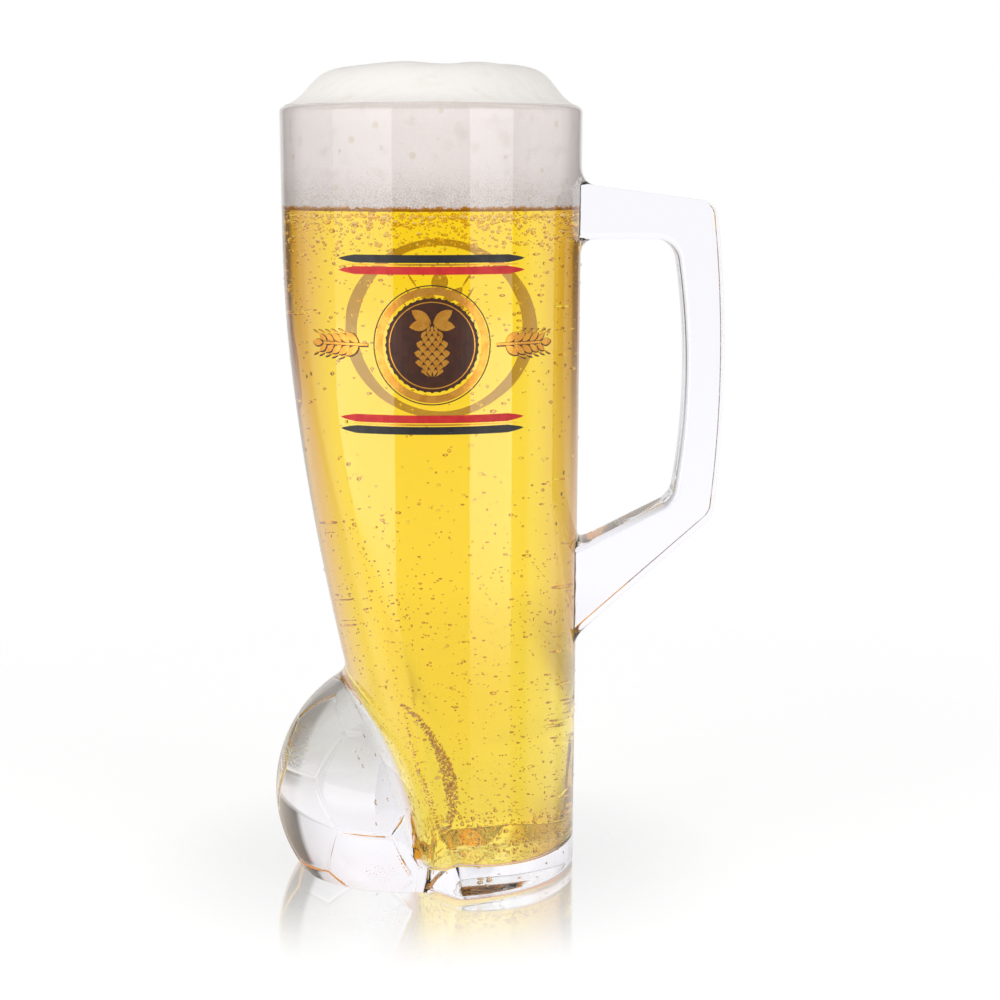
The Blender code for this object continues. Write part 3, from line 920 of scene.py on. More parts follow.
def make_handle():
    """The side view drawn out to the handle's thickness, with rounded edges."""
    outline = handle_outline()
    count = len(outline)
    edge = np.where(np.arange(count) < gap_start(outline), HANDLE_EDGE_OUTSIDE, HANDLE_EDGE_INSIDE)
    half = HANDLE_THICKNESS / 2
    steps = [(edge + FACE_MARGIN, np.full(count, half))]
    for bend in np.linspace(0, math.pi / 2, HANDLE_EDGE_ROWS):
        steps.append((edge * (1 - math.sin(bend)), half - edge * (1 - math.cos(bend))))
    steps += [(inset, -y) for inset, y in reversed(steps)]
    rings = []
    for inset, y in steps:
        side = stepped_in(outline, inset[:, None])
        rings.append(np.column_stack([side[:, 0], y, side[:, 1]]))
    return slice_roots(loft("handle", rings))


handle = make_handle()
print("handle:", len(handle.data.polygons), "faces")

# %% [markdown]
# ## One piece of glass
# On the real mug cup, ball and handle are one pressing, and light passes from one into the other. So
# the three skins are united into one, and the hard lines where they met are blown up to fillets: every
# point near a joint is moved out to the level of a smooth minimum of the distances to the two forms.
# The handle's arms flare where their upper and lower sides meet the wall, and hardly at their flat sides.

# %% Unite the three forms
glass = combine(cup, "UNION", ball, handle)
glass.name = "glass"
glass.data.name = "glass"
print("glass:", len(glass.data.vertices), "points,", len(glass.data.polygons), "faces")

# %% Distances for the fillets
BALL_FILLET = 4.0 * MM
HANDLE_FILLET = 0.35 * MM
HANDLE_FLARE = 4.6 * MM
GRADIENT_STEP = 0.01 * MM
FILLET_STEPS = 5
FILLET_REACH = 1.2
FILLET_DEPTH = 0.7 * MM
LEAST_SLOPE = 0.05


def ball_distance(points):
    return np.linalg.norm(points - np.array(BALL_CENTRE), axis=-1) - BALL_RADIUS


def handle_distance(points):
    """Distance outside the handle: its side view, thickness and edge rounding together."""
    outline = handle_outline()
    place = points[:, [0, 2]]
    nearest = np.full(len(points), np.inf)
    inside = np.zeros(len(points), bool)
    for start, end in zip(outline, np.roll(outline, -1, axis=0)):
        side = end - start
        to_point = place - start
        share = np.clip(to_point @ side / (side @ side), 0, 1)
        nearest = np.minimum(nearest, np.linalg.norm(to_point - share[:, None] * side, axis=1))
        spans = (start[1] <= place[:, 1]) != (end[1] <= place[:, 1])
        if abs(side[1]) > 0:
            inside ^= spans & (place[:, 0] < start[0] + (place[:, 1] - start[1]) * side[0] / side[1])
    flat = np.where(inside, -nearest, nearest) + HANDLE_EDGE_OUTSIDE
    deep = np.abs(points[:, 1]) - HANDLE_THICKNESS / 2 + HANDLE_EDGE_OUTSIDE
    outside = np.hypot(np.maximum(flat, 0), np.maximum(deep, 0))
    return outside + np.minimum(np.maximum(flat, deep), 0) - HANDLE_EDGE_OUTSIDE


def gradient(distance, points):
    """How fast a distance grows along X, Y and Z."""
    slopes = []
    for axis in range(3):
        shift = np.zeros(3)
        shift[axis] = GRADIENT_STEP
        slopes.append((distance(points + shift) - distance(points - shift)) / (2 * GRADIENT_STEP))
    return np.stack(slopes, -1)


def fillet(points, first, second, rounding):
    """Move the points near the joint of two forms out to the fillet; says which, and their normals."""
    near = np.abs(first(points) - second(points)) < FILLET_REACH * rounding
    near &= np.minimum(first(points), second(points)) > -FILLET_DEPTH
    chosen = points[near]
    rounding = rounding[near]
    level = np.minimum(first(chosen), second(chosen))

    def rounded(places):
        return smooth_min(first(places), second(places), rounding)

    for _ in range(FILLET_STEPS):
        slope = gradient(rounded, chosen)
        slope[chosen[:, 2] < FOOT_EDGE_ROUND, 2] = 0
        miss = rounded(chosen) - level
        chosen = chosen - slope * (miss / np.maximum((slope ** 2).sum(1), LEAST_SLOPE))[:, None]
    normals = gradient(rounded, chosen)
    return near, chosen, normals / np.linalg.norm(normals, axis=1, keepdims=True)


# %% Fillets where ball and handle leave the cup
BALL_JOINT_END = 15 * MM
BALL_JOINT_TOP = 62 * MM
HANDLE_JOINT_START = 24 * MM
HANDLE_JOINT_END = 52 * MM


def points_of(mesh):
    places = np.empty(len(mesh.vertices) * 3)
    mesh.vertices.foreach_get("co", places)
    return places.reshape(-1, 3)


def round_the_joints(mesh):
    """Fillet both joints; gives the normals of the smooth form, by point."""
    places = points_of(mesh)
    x, _, z = places.T
    left = np.flatnonzero((x < BALL_JOINT_END) & (z < BALL_JOINT_TOP))
    right = np.flatnonzero((x > HANDLE_JOINT_START) & (x < HANDLE_JOINT_END))
    upright = np.abs(gradient(handle_distance, places[right])[:, 2]) ** 2
    smooth_normals = {}
    for chosen, form, rounding in (
        (left, ball_distance, np.full(len(left), BALL_FILLET)),
        (right, handle_distance, HANDLE_FILLET + (HANDLE_FLARE - HANDLE_FILLET) * upright),
    ):
        near, moved, normals = fillet(places[chosen], wall_distance, form, rounding)
        places[chosen[near]] = moved
        keep = moved[:, 2] > FOOT_EDGE_ROUND
        smooth_normals.update(zip(chosen[near][keep].tolist(), normals[keep]))
    mesh.vertices.foreach_set("co", places.ravel())
    mesh.shade_smooth()
    mesh.set_sharp_from_angle(angle=SHARP_ANGLE)
    mesh.update()
    return smooth_normals


smooth_normals = round_the_joints(glass.data)
print("points in fillets:", len(smooth_normals))


# %% Normals of the fillets and of the handle's flat sides
def set_point_normals(mesh, normals):
    """Give the corners at some points set normals, and the handle's flat sides level ones."""
    places = points_of(mesh)
    flat_side = np.abs(np.abs(places[:, 1]) - HANDLE_THICKNESS / 2) < SAME_POINT
    flat_side &= places[:, 0] > cone_radius(places[:, 2])
    level = {int(point): np.array([0, np.sign(places[point, 1]), 0]) for point in np.flatnonzero(flat_side)}
    normals = level | normals
    corners = np.empty(len(mesh.loops) * 3)
    mesh.corner_normals.foreach_get("vector", corners)
    corners = corners.reshape(-1, 3)
    owner = np.empty(len(mesh.loops), int)
    mesh.loops.foreach_get("vertex_index", owner)
    for corner in np.flatnonzero(np.isin(owner, list(normals))):
        corners[corner] = normals[owner[corner]]
    mesh.normals_split_custom_set(corners.tolist())
    return len(normals)


print("points with set normals:", set_point_normals(glass.data, smooth_normals))

# %% [markdown]
# ## Clear glass
# Pressed glass is clear with a faint cool cast. Its skin is never quite flat: slow waves from the mould
# bend what stands behind it, and the ball's panels carry a fine stipple in places. The foot ring is
# scuffed from tables. The ball is solid. Its upper outer side gets a darker second cast in the Base
# Color: painted shade, for the shaded floor that the ball shows there. Waves and stipple go through
# a Bump node.

# %% Waves and stipple of the glass
WAVE_HEIGHT = 0.06
PIMPLE_HEIGHT = 0.10
STIPPLE_RAGGED = 3 * MM
STIPPLE_EDGE = (3 * MM, -1 * MM)
STIPPLE_PATCHES = (
    ((-34.7 * MM, -14.5 * MM, 35.0 * MM), 7.0 * MM),
    ((-12.9 * MM, -32.3 * MM, 8.0 * MM), 6.5 * MM),
)


def distance_from(recipe, at, place):
    """How far the shaded point lies from a place."""
    return recipe.node("ShaderNodeVectorMath", {"operation": "DISTANCE"}, {0: at, 1: place}, out="Value")


def moulded_skin(melt, at):
    """Normal of a pressed surface: slow waves everywhere, pimples in two patches of the ball."""
    waves = melt.noise(at, scale=70.0, detail=1.0)
    pimples = melt.cells(at, scale=1500.0)
    stippled = 0.0
    for patch, reach in STIPPLE_PATCHES:
        ragged = distance_from(melt, at, patch) + STIPPLE_RAGGED * melt.noise(at, scale=320.0)
        stippled = stippled + melt.step(ragged, *(reach + edge for edge in STIPPLE_EDGE))
    height = WAVE_HEIGHT * waves + PIMPLE_HEIGHT * pimples * stippled
    return melt.bump(height, strength=1.0, distance=1 * MM)


# %% Glass finish
GLASS_IOR = 1.5
GLASS_CAST = colour(0.938, 0.930, 0.976)
BALL_PAINTED_SHADE = colour(0.53, 0.53, 0.48)
BALL_SHADE_HEIGHT = (20 * MM, 37 * MM)
BALL_SHADE_SIDE = (-5 * MM, -16 * MM)
BALL_SHADE_SKIN = (BALL_RADIUS + 1.2 * MM, BALL_RADIUS + 0.4 * MM)
SCUFF_HEIGHT = (0.6 * MM, 0.1 * MM)
SCUFF_AMOUNT = (0.60, 0.75)
SCUFF_ROUGHNESS = 0.30


def glass_finish(name, cast, gloss):
    """Clear glass whose skin mirrors by a share of what bare glass does."""
    material, melt = new_material(name)
    at, at_x, _, at_z = melt.place()
    scuffs = melt.noise(at, scale=2600.0, detail=3.0, roughness=0.6)
    scuffed = melt.step(at_z, *SCUFF_HEIGHT) * melt.step(scuffs, *SCUFF_AMOUNT)
    # Painted shade: a darker cast on the ball's upper outer side, for the shaded floor seen through it.
    on_ball = gloss * melt.step(distance_from(melt, at, BALL_CENTRE), *BALL_SHADE_SKIN)
    deep = on_ball * melt.step(at_z, *BALL_SHADE_HEIGHT) * melt.step(at_x, *BALL_SHADE_SIDE)
    clear = melt.node("ShaderNodeBsdfPrincipled", None, {
        "Base Color": melt.mix(deep, cast, BALL_PAINTED_SHADE),
        "Transmission Weight": 1.0,
        "IOR": GLASS_IOR,
        "Specular Tint": colour(gloss, gloss, gloss),
        "Roughness": SCUFF_ROUGHNESS * scuffed,
        "Normal": moulded_skin(melt, at),
    })
    melt.node("ShaderNodeOutputMaterial", None, {"Surface": clear})
    return material


glass.data.materials.clear()
glass.data.materials.append(glass_finish("clear_glass", GLASS_CAST, 1.0))
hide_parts("mug_body", "football", "handle")
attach(glass, "root")
print("glass finish:", len(glass.data.materials[0].node_tree.nodes), "nodes")

# %% [markdown]
# ## The beer
# Where beer wets glass there is no air between them. A ray that leaves the glass into the beer bends by
# the ratio of the two, and that comes out right when the beer's skin lies a hair inside the glass: the
# ray enters the beer first and then leaves the glass. A wetted wall hardly mirrors, so its part of the
# glass and the beer's skin have no gloss. The beer's colour is absorption, so that thick places are
# deeper in tone than thin ones.

# %% Beer
BEER_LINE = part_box("beer")[1].z
BEER_IN_GLASS = 0.12 * MM
BEER_ROWS = 64


def beer_rings():
    """The skin of the beer from the middle of the floor to the middle of its level top."""
    rings = []
    for bend in np.linspace(math.pi / 2, 0, EDGE_ROWS):
        height = FLOOR_THICKNESS + FLOOR_FILLET * (1 - math.sin(bend)) - BEER_IN_GLASS
        rings.append(cavity_section(height, FLOOR_FILLET * (1 - math.cos(bend)) - BEER_IN_GLASS))
    rings = drawn_in(rings[0], END_SHARES) + rings
    for height in np.linspace(FLOOR_THICKNESS + FLOOR_FILLET, BEER_LINE, BEER_ROWS)[1:]:
        rings.append(cavity_section(height, -BEER_IN_GLASS))
    return rings + drawn_in(rings[-1], END_SHARES[::-1])


beer = loft("beer_fill", beer_rings())
print("beer up to", round(BEER_LINE / MM, 1), "mm")

# %% Beer finish
BEER_IOR = 1.34
BEER_COLOUR = colour(1.0, 0.917, 0.02)
BEER_DEPTH_OF_TONE = 65.0
NO_LIGHT = colour(0, 0, 0)

beer_material, brew = new_material("golden_beer")
liquid = brew.node("ShaderNodeBsdfPrincipled", None, {
    "Base Color": WHITE,
    "Transmission Weight": 1.0,
    "IOR": BEER_IOR,
    "Specular Tint": NO_LIGHT,
    "Roughness": 0.0,
})
malt = brew.node("ShaderNodeVolumeAbsorption", None, {
    "Color": BEER_COLOUR,
    "Density": BEER_DEPTH_OF_TONE,
})
brew.node("ShaderNodeOutputMaterial", None, {"Surface": liquid, "Volume": malt})
beer.data.materials.append(beer_material)
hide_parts("beer")
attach(beer, "root")
print("beer finish:", len(brew.tree.nodes), "nodes")

# %% The wetted wall
WETTED_CAST = colour(1.0, 0.995, 0.98)
INSIDE_SHARE = 0.6


def wet_the_wall(piece):
    """Give the faces that touch beer a finish without gloss."""
    faces = piece.data.polygons
    middles = np.empty(len(faces) * 3)
    faces.foreach_get("center", middles)
    middles = middles.reshape(-1, 3)
    heights = middles[:, 2]
    wet = wall_distance(middles) < -INSIDE_SHARE * wall_thickness(heights)
    wet &= (heights > INSIDE_SHARE * FLOOR_THICKNESS) & (heights < BEER_LINE)
    piece.data.materials.append(glass_finish("wetted_glass", WETTED_CAST, 0.0))
    faces.foreach_set("material_index", wet.astype(int))
    return int(wet.sum())


print("wetted faces:", wet_the_wall(glass))

# %% [markdown]
# ## The foam
# The head stands as a collar inside the rim and swells over it to a broad, flat-topped dome with two
# soft humps. Its skin is one loft: up the collar, over the lip and in to the middle, with the humps and
# some small lumps added. The collar lies a hair inside the glass, as wet foam does. Low in the collar
# brown films show between the bubbles, and along the beer a ragged orange line. The underside glows a
# little, because in the real mug light from all round reaches it through the beer.

# %% Foam
FOAM_IN_GLASS = 0.06 * MM
FOAM_SINK = 0.5 * MM
FOAM_LIP_RADIUS = 37.2 * MM
FOAM_LIP_RISE = 0.1 * MM
FOAM_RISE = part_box("foam_head")[1].z - BODY_HEIGHT
FOAM_SHOULDER = 31.4 * MM
FOAM_SLOPE = 2.2 * MM
FOAM_LEAN = 3.0 * MM
FOAM_COLLAR_ROWS = 24
FOAM_DOME_ROWS = 70
HUMP_PLACES = (-9.0 * MM, 14.0 * MM)
HUMP_WIDTH = 8.0 * MM
HUMP_RISE = 0.6 * MM
LUMP_SIZE = 9.0 * MM
LUMP_RISE = 0.35 * MM
LAST_RING = 0.02


def shoulder(away):
    """1 over the dome, falling to nearly 0 at the lip."""
    return 1 / (1 + math.exp((away - FOAM_SHOULDER) / FOAM_SLOPE))


def dome_height(x, y):
    """Height of the dome above the rim."""
    share = shoulder(math.hypot(x - FOAM_LEAN * (1 - math.hypot(x, y) / FOAM_LIP_RADIUS), y))
    share = max(share - shoulder(FOAM_LIP_RADIUS), 0) / (1 - shoulder(FOAM_LIP_RADIUS))
    hump = sum(math.exp(-((x - place) / HUMP_WIDTH) ** 2) for place in HUMP_PLACES)
    lump = noise.noise(Vector((x, y, 0)) / LUMP_SIZE)
    crown = shoulder(math.hypot(x, y) + 2 * FOAM_SLOPE)
    dome = FOAM_LIP_RISE + (FOAM_RISE - FOAM_LIP_RISE - HUMP_RISE) * share
    return dome + crown * (HUMP_RISE * hump + LUMP_RISE * lump)


def foam_rings():
    """The skin from the middle of the underside, up the collar and in over the dome."""
    rings = []
    for height in np.linspace(BEER_LINE - FOAM_SINK, BODY_HEIGHT - RIM_ROUND, FOAM_COLLAR_ROWS):
        rings.append(cavity_section(height, -FOAM_IN_GLASS))
    rings = drawn_in(rings[0], END_SHARES) + rings
    plan = section(BODY_HEIGHT, RIM_RADIUS - FOAM_LIP_RADIUS)
    for share in np.linspace(1, LAST_RING, FOAM_DOME_ROWS):
        ring = plan * np.array([share, share, 1])
        ring[:, 2] = [BODY_HEIGHT + dome_height(x, y) for x, y in ring[:, :2]]
        rings.append(ring)
    return rings


foam = loft("foam_dome", foam_rings())
print("foam:", len(foam.data.polygons), "faces")

# %% Patterns of the foam
GRAIN_SQUAT = (1, 1, 1.35)
GRAIN_REACH = 15.0 * MM
STROKE_TURN = (0, 0, 0.5)
STROKE_DRAWN = (1, 4, 1)
DOME_EDGE = (BODY_HEIGHT - 1 * MM, BODY_HEIGHT + 1 * MM)
FILM_EDGE = (0.16, 0.02)
FILM_LEAST = 0.15
WET_RAGGED = 0.8 * MM
WET_REACH = 0.35 * MM

foam_material, froth = new_material("white_foam")
at, at_x, at_y, at_z = froth.place()
squat = froth.node("ShaderNodeMapping", None, {"Vector": at, "Scale": GRAIN_SQUAT})
drawn = {"Vector": at, "Rotation": STROKE_TURN, "Scale": STROKE_DRAWN}
drawn = froth.node("ShaderNodeMapping", None, drawn)
grain = froth.cells(squat, scale=1600.0, feature="DISTANCE_TO_EDGE")
fine = froth.cells(at, scale=2100.0)
spots = froth.cells(at, scale=150.0)
coarse = froth.noise(at, scale=240.0, detail=3.0)
strokes = froth.noise(drawn, scale=130.0, detail=4.0, roughness=0.6)
dome = froth.step(at_z, *DOME_EDGE)
low = froth.step(at_z, BEER_LINE + GRAIN_REACH, BEER_LINE)
films = froth.step(grain, *FILM_EDGE) * blend(low * low, FILM_LEAST, 1.0) * (1 - dome)
ragged = at_z - WET_RAGGED * (fine + 2 * froth.noise(at, scale=420.0) - 1)
wet = froth.step(ragged, BEER_LINE + WET_REACH, BEER_LINE - WET_REACH)
print("foam: films between its bubbles up to", round(GRAIN_REACH / MM), "mm above the beer")

# %% Tones of the foam
DOME_PAINTED_SHADE = colour(0.84, 0.815, 0.785)
COLLAR_PAINTED_LIGHT = colour(0.97, 0.915, 0.86)
SHADE_COLOUR = colour(0.74, 0.66, 0.58)
SHADE_SHARE = 0.30
SHADE_EDGE = (0.52, 0.75)
FILM_COLOUR = colour(0.56, 0.46, 0.37)
FILM_SHARE = 0.6
SPOT_COLOUR = colour(0.80, 0.70, 0.54)
SPOT_SHARE = 0.55
SPOT_EDGE = (0.16, 0.10)
STROKE_SHARE = 0.18
STROKE_EDGE = (0.48, 0.62)
WET_COLOUR = colour(0.62, 0.25, 0.005)

# Painted light: the collar behind the glass is given a paler colour than the dome, and the dome a darker
# one, so that both show alike in tone under their different light.
tone = froth.mix(dome, COLLAR_PAINTED_LIGHT, DOME_PAINTED_SHADE)
tone = froth.mix(SHADE_SHARE * froth.step(coarse, *SHADE_EDGE), tone, SHADE_COLOUR)
tone = froth.mix(FILM_SHARE * films, tone, FILM_COLOUR)
tone = froth.mix(SPOT_SHARE * froth.step(spots, *SPOT_EDGE) * (1 - dome), tone, SPOT_COLOUR)
tone = froth.mix(STROKE_SHARE * dome * froth.step(strokes, *STROKE_EDGE), tone, SHADE_COLOUR)
tone = froth.mix(wet, tone, WET_COLOUR)
print("foam finish so far:", len(froth.tree.nodes), "nodes")

# %% Foam finish
FOAM_BUMP = {"coarse": 0.4, "fine": 0.2, "strokes": 0.9, "films": 0.6}
UNDERSIDE_GLOW = colour(0.72, 0.64, 0.52)
UNDERSIDE_RADIUS = cone_radius(BEER_LINE) - wall_thickness(BEER_LINE) - 0.3 * MM
UNDERSIDE_EDGE = (UNDERSIDE_RADIUS, UNDERSIDE_RADIUS - 1 * MM)

height = coarse * FOAM_BUMP["coarse"] + fine * FOAM_BUMP["fine"]
height = height + strokes * dome * FOAM_BUMP["strokes"] - films * FOAM_BUMP["films"]
away = (at_x * at_x + at_y * at_y) ** 0.5
under = froth.step(at_z, BEER_LINE, BEER_LINE - FOAM_SINK) * froth.step(away, *UNDERSIDE_EDGE)
skin = froth.node("ShaderNodeBsdfPrincipled", None, {
    "Base Color": tone,
    "Emission Color": froth.mix(under, NO_LIGHT, UNDERSIDE_GLOW),
    "Emission Strength": 1.0,
    "Roughness": 0.85,
    "Specular IOR Level": 0.2,
    "Normal": froth.bump(height, strength=0.45, distance=0.5 * MM),
})
froth.node("ShaderNodeOutputMaterial", None, {"Surface": skin})
foam.data.materials.append(foam_material)
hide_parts("foam_head")
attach(foam, "root")
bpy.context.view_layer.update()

# %% [markdown]
# ## Scattering bubbles and drops
# Hundreds of small round things sit on a wall at random, but not evenly: bubbles crowd under the foam,
# drops of dew gather in patches. One Geometry Nodes tree serves them all. It strews points on a skin, as
# many as a density that changes with height and with a slow noise allows, moves each a little way in
# from the wall, puts a form there and makes the copies real.

# %% Geometry Nodes tree for scattering
PATCH_EDGE = (0.56, 0.40)
FEW_LARGE = 3
FEW_DEEP = 3
SCATTER_INPUTS = {
    "Skin": "Geometry", "Form": "Object", "Finish": "Material", "Low": "Float", "High": "Float",
    "Density low": "Float", "Density high": "Float", "Patch size": "Float", "Patchiness": "Float",
    "Smallest": "Float", "Largest": "Float", "Depth": "Float", "Seed": "Int",
}


def strew(plan, given):
    """Points on the skin, as dense as height and patches allow, moved in from it; and how they face."""
    place = plan.node("GeometryNodeInputPosition")
    height = plan.node("ShaderNodeSeparateXYZ", None, {0: place}, out="Z")
    density = plan.node("ShaderNodeMapRange", None, {
        "Value": height, "From Min": given["Low"], "From Max": given["High"],
        "To Min": given["Density low"], "To Max": given["Density high"],
    })
    patches = plan.noise(place, 1 / given["Patch size"], detail=1.0)
    thinned = 1 - given["Patchiness"] * plan.step(patches, *PATCH_EDGE)
    sockets = {"Mesh": given["Skin"], "Density": density * thinned, "Seed": given["Seed"]}
    outputs = ("Points", "Normal", "Rotation")
    points, normal, turn = plan.node("GeometryNodeDistributePointsOnFaces", None, sockets, outputs)
    chance = {"Seed": given["Seed"] + 1}
    chance = plan.node("FunctionNodeRandomValue", {"data_type": "FLOAT"}, chance, out=1)
    inwards = {0: normal, "Scale": given["Depth"] * chance ** FEW_DEEP * -1}
    shift = plan.node("ShaderNodeVectorMath", {"operation": "SCALE"}, inwards)
    return plan.node("GeometryNodeSetPosition", None, {"Geometry": points, "Offset": shift}), turn


def scatter_tree():
    """The tree: strewn points, a form of random size on each, made real and given its finish."""
    tree = bpy.data.node_groups.new("scatter", "GeometryNodeTree")
    for name, kind in SCATTER_INPUTS.items():
        tree.interface.new_socket(name, in_out="INPUT", socket_type="NodeSocket" + kind)
    tree.interface.new_socket("Copies", in_out="OUTPUT", socket_type="NodeSocketGeometry")
    plan = Recipe(tree)
    names = tuple(SCATTER_INPUTS)
    given = dict(zip(names, plan.node("NodeGroupInput", out=names)))
    points, turn = strew(plan, given)
    chance = {"Seed": given["Seed"]}
    chance = plan.node("FunctionNodeRandomValue", {"data_type": "FLOAT"}, chance, out=1)
    size = blend(chance ** FEW_LARGE, given["Smallest"], given["Largest"])
    form = {"Object": given["Form"], "As Instance": True}
    form = plan.node("GeometryNodeObjectInfo", None, form, out="Geometry")
    sockets = {"Points": points, "Instance": form, "Rotation": turn, "Scale": size}
    copies = plan.node("GeometryNodeInstanceOnPoints", None, sockets)
    real = plan.node("GeometryNodeRealizeInstances", None, {0: copies})
    done = plan.node("GeometryNodeSetMaterial", None, {"Geometry": real, "Material": given["Finish"]})
    plan.node("NodeGroupOutput", None, {"Copies": done})
    return tree


SCATTER = scatter_tree()
print("scatter tree:", len(SCATTER.nodes), "nodes")


# %% A small round form, and the tree at work on a skin
def small_form(name, around, rows, flat_below=1.0, rise=1.0):
    """A round form of radius 1 with few faces; a drop is flat below and lower than it is wide."""
    shape = bmesh.new()
    bmesh.ops.create_uvsphere(shape, u_segments=around, v_segments=rows, radius=1)
    for vert in shape.verts:
        vert.co.z *= rise if vert.co.z > 0 else flat_below
    mesh = bpy.data.meshes.new(name)
    shape.to_mesh(mesh)
    shape.free()
    mesh.shade_smooth()
    form = bpy.data.objects.new(name, mesh)
    scene.collection.objects.link(form)
    return form


def scattered(skin, **inputs):
    """Run the tree on a skin with the given inputs and keep the copies as a plain mesh."""
    step = skin.modifiers.new("scatter", "NODES")
    step.node_group = SCATTER
    for socket in SCATTER.interface.items_tree:
        name = socket.name.lower().replace(" ", "_")
        if socket.in_out == "INPUT" and name in inputs:
            step[socket.identifier] = inputs[name]
    seen = bpy.context.evaluated_depsgraph_get()
    mesh = bpy.data.meshes.new_from_object(skin.evaluated_get(seen))
    skin.modifiers.clear()
    mesh.name = skin.name
    skin.data = mesh
    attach(skin, "root")
    print(skin.name + ":", len(mesh.polygons), "faces")
    return skin


# %% [markdown]
# ## Bubbles in the beer
# Bubbles cling to the inside of the glass and rise from it. Most are under a millimetre across, they
# crowd under the foam, a haze of small ones stands in the lower half, and a ring of them sits where the
# wall meets the floor. More gather along the front crease. A bubble is a lens: clear in the middle with
# a dark rim. Its finish is clear with an amber cast that is painted shade, for those dark rims, and
# deeper where bubbles crowd and along the crease, for the dark gold shade there.

# %% Bubble finishes
BUBBLE_IOR = 0.76
BUBBLE_TONES = (0.35, 0.65)


def bubble_finish(name, pale, deep):
    """Air in beer: a clear lens with an amber cast of painted shade that changes from bubble to bubble."""
    material, fizz = new_material(name)
    at = fizz.place()[0]
    share = fizz.step(fizz.noise(at, scale=900.0), *BUBBLE_TONES)
    lens = fizz.node("ShaderNodeBsdfPrincipled", None, {
        "Base Color": fizz.mix(share, pale, deep),
        "Transmission Weight": 1.0,
        "IOR": BUBBLE_IOR,
        "Roughness": 0.0,
    })
    fizz.node("ShaderNodeOutputMaterial", None, {"Surface": lens})
    return material


# Painted shade: the amber casts darken the bubbles; the crowded ones are darker still.
LOOSE_PAINTED_SHADE = bubble_finish("bubbles", colour(0.95, 0.82, 0.55), colour(0.87, 0.68, 0.38))
CROWDED_PAINTED_SHADE = bubble_finish("crowded_bubbles", colour(0.82, 0.60, 0.14), colour(0.58, 0.38, 0.06))
print("bubble finishes:", LOOSE_PAINTED_SHADE.name, "and", CROWDED_PAINTED_SHADE.name)

# %% Skins that bubbles sit on
BUBBLE_OFF_GLASS = 0.75 * MM
HOSE_TOP = 50.0 * MM
HOSE_FOOT = 16.0 * MM
HOSE_START = -5.2 * MM
HOSE_RUN = 8.8 * MM
HOSE_FULLNESS = 0.8
HOSE_ENDS = 0.2
HOSE_LOW = 1.3
HOSE_ROWS = 24
HOSE_SIDES = 10


def bubble_skin(name, low, high, rows):
    """The wet wall between two heights, just inside the beer."""
    rings = [cavity_section(height, BUBBLE_OFF_GLASS) for height in np.linspace(low, high, rows)]
    return loft(name, rings)


def crease_skin(name, bulge, most):
    """A slim hose along or beside the front crease where bubbles gather, thinner at its ends."""
    rings = []
    for share in np.linspace(0, 1, HOSE_ROWS):
        height = HOSE_TOP + (HOSE_FOOT - HOSE_TOP) * share
        x = HOSE_START + HOSE_RUN * share + bulge * math.sin(math.pi * share) ** HOSE_FULLNESS
        thick = most * (HOSE_ENDS + math.sin(math.pi * share ** HOSE_LOW))
        wall = cavity_section(height, BUBBLE_OFF_GLASS + thick)
        wall = wall[wall[:, 1] < 0]
        wall = wall[np.argsort(wall[:, 0])]
        middle = np.array([x, np.interp(x, wall[:, 0], wall[:, 1]), height])
        turns = np.linspace(0, 2 * math.pi, HOSE_SIDES, endpoint=False)
        rings.append(middle + thick * np.stack([np.cos(turns), np.sin(turns), 0 * turns], -1))
    return loft(name, rings)


# %% Bubbles
FLOOR_CORNER = FLOOR_THICKNESS + FLOOR_FILLET
BUBBLES_TOP = BEER_LINE - 2 * MM
BUBBLE_LINE = BEER_LINE - 9 * MM
LOWER_BUBBLES = 70.0 * MM
UPPER_BUBBLES = 110.0 * MM

bubble_form = small_form("bubble_form", around=7, rows=5)
wall_bubbles = scattered(
    bubble_skin("bubbles_wall", FLOOR_CORNER, BUBBLES_TOP, rows=40),
    form=bubble_form, finish=LOOSE_PAINTED_SHADE, low=UPPER_BUBBLES, high=BEER_LINE,
    density_low=2.0e4, density_high=2.0e5, patch_size=11 * MM, patchiness=0.85,
    smallest=0.20 * MM, largest=0.58 * MM, depth=8 * MM, seed=3,
)
low_bubbles = scattered(
    bubble_skin("bubbles_low", FLOOR_CORNER, BUBBLES_TOP, rows=40),
    form=bubble_form, finish=CROWDED_PAINTED_SHADE, low=LOWER_BUBBLES, high=UPPER_BUBBLES,
    density_low=1.6e5, density_high=0.0, patch_size=10 * MM, patchiness=0.8,
    smallest=0.15 * MM, largest=0.36 * MM, depth=4 * MM, seed=4,
)
line_bubbles = scattered(
    bubble_skin("bubbles_line", BUBBLE_LINE, BEER_LINE - 0.6 * MM, rows=8),
    form=bubble_form, finish=LOOSE_PAINTED_SHADE, low=BUBBLE_LINE, high=BEER_LINE,
    density_low=1.0e4, density_high=1.6e5, patch_size=6 * MM, patchiness=0.6,
    smallest=0.14 * MM, largest=0.42 * MM, depth=12 * MM, seed=8,
)
floor_bubbles = scattered(
    bubble_skin("bubbles_floor", FLOOR_THICKNESS + 1.8 * MM, FLOOR_THICKNESS + 4 * MM, rows=4),
    form=bubble_form, finish=LOOSE_PAINTED_SHADE, low=0.0, high=20 * MM,
    density_low=1.2e5, density_high=1.2e5, patch_size=8 * MM, patchiness=0.7,
    smallest=0.18 * MM, largest=0.6 * MM, depth=6 * MM, seed=5,
)
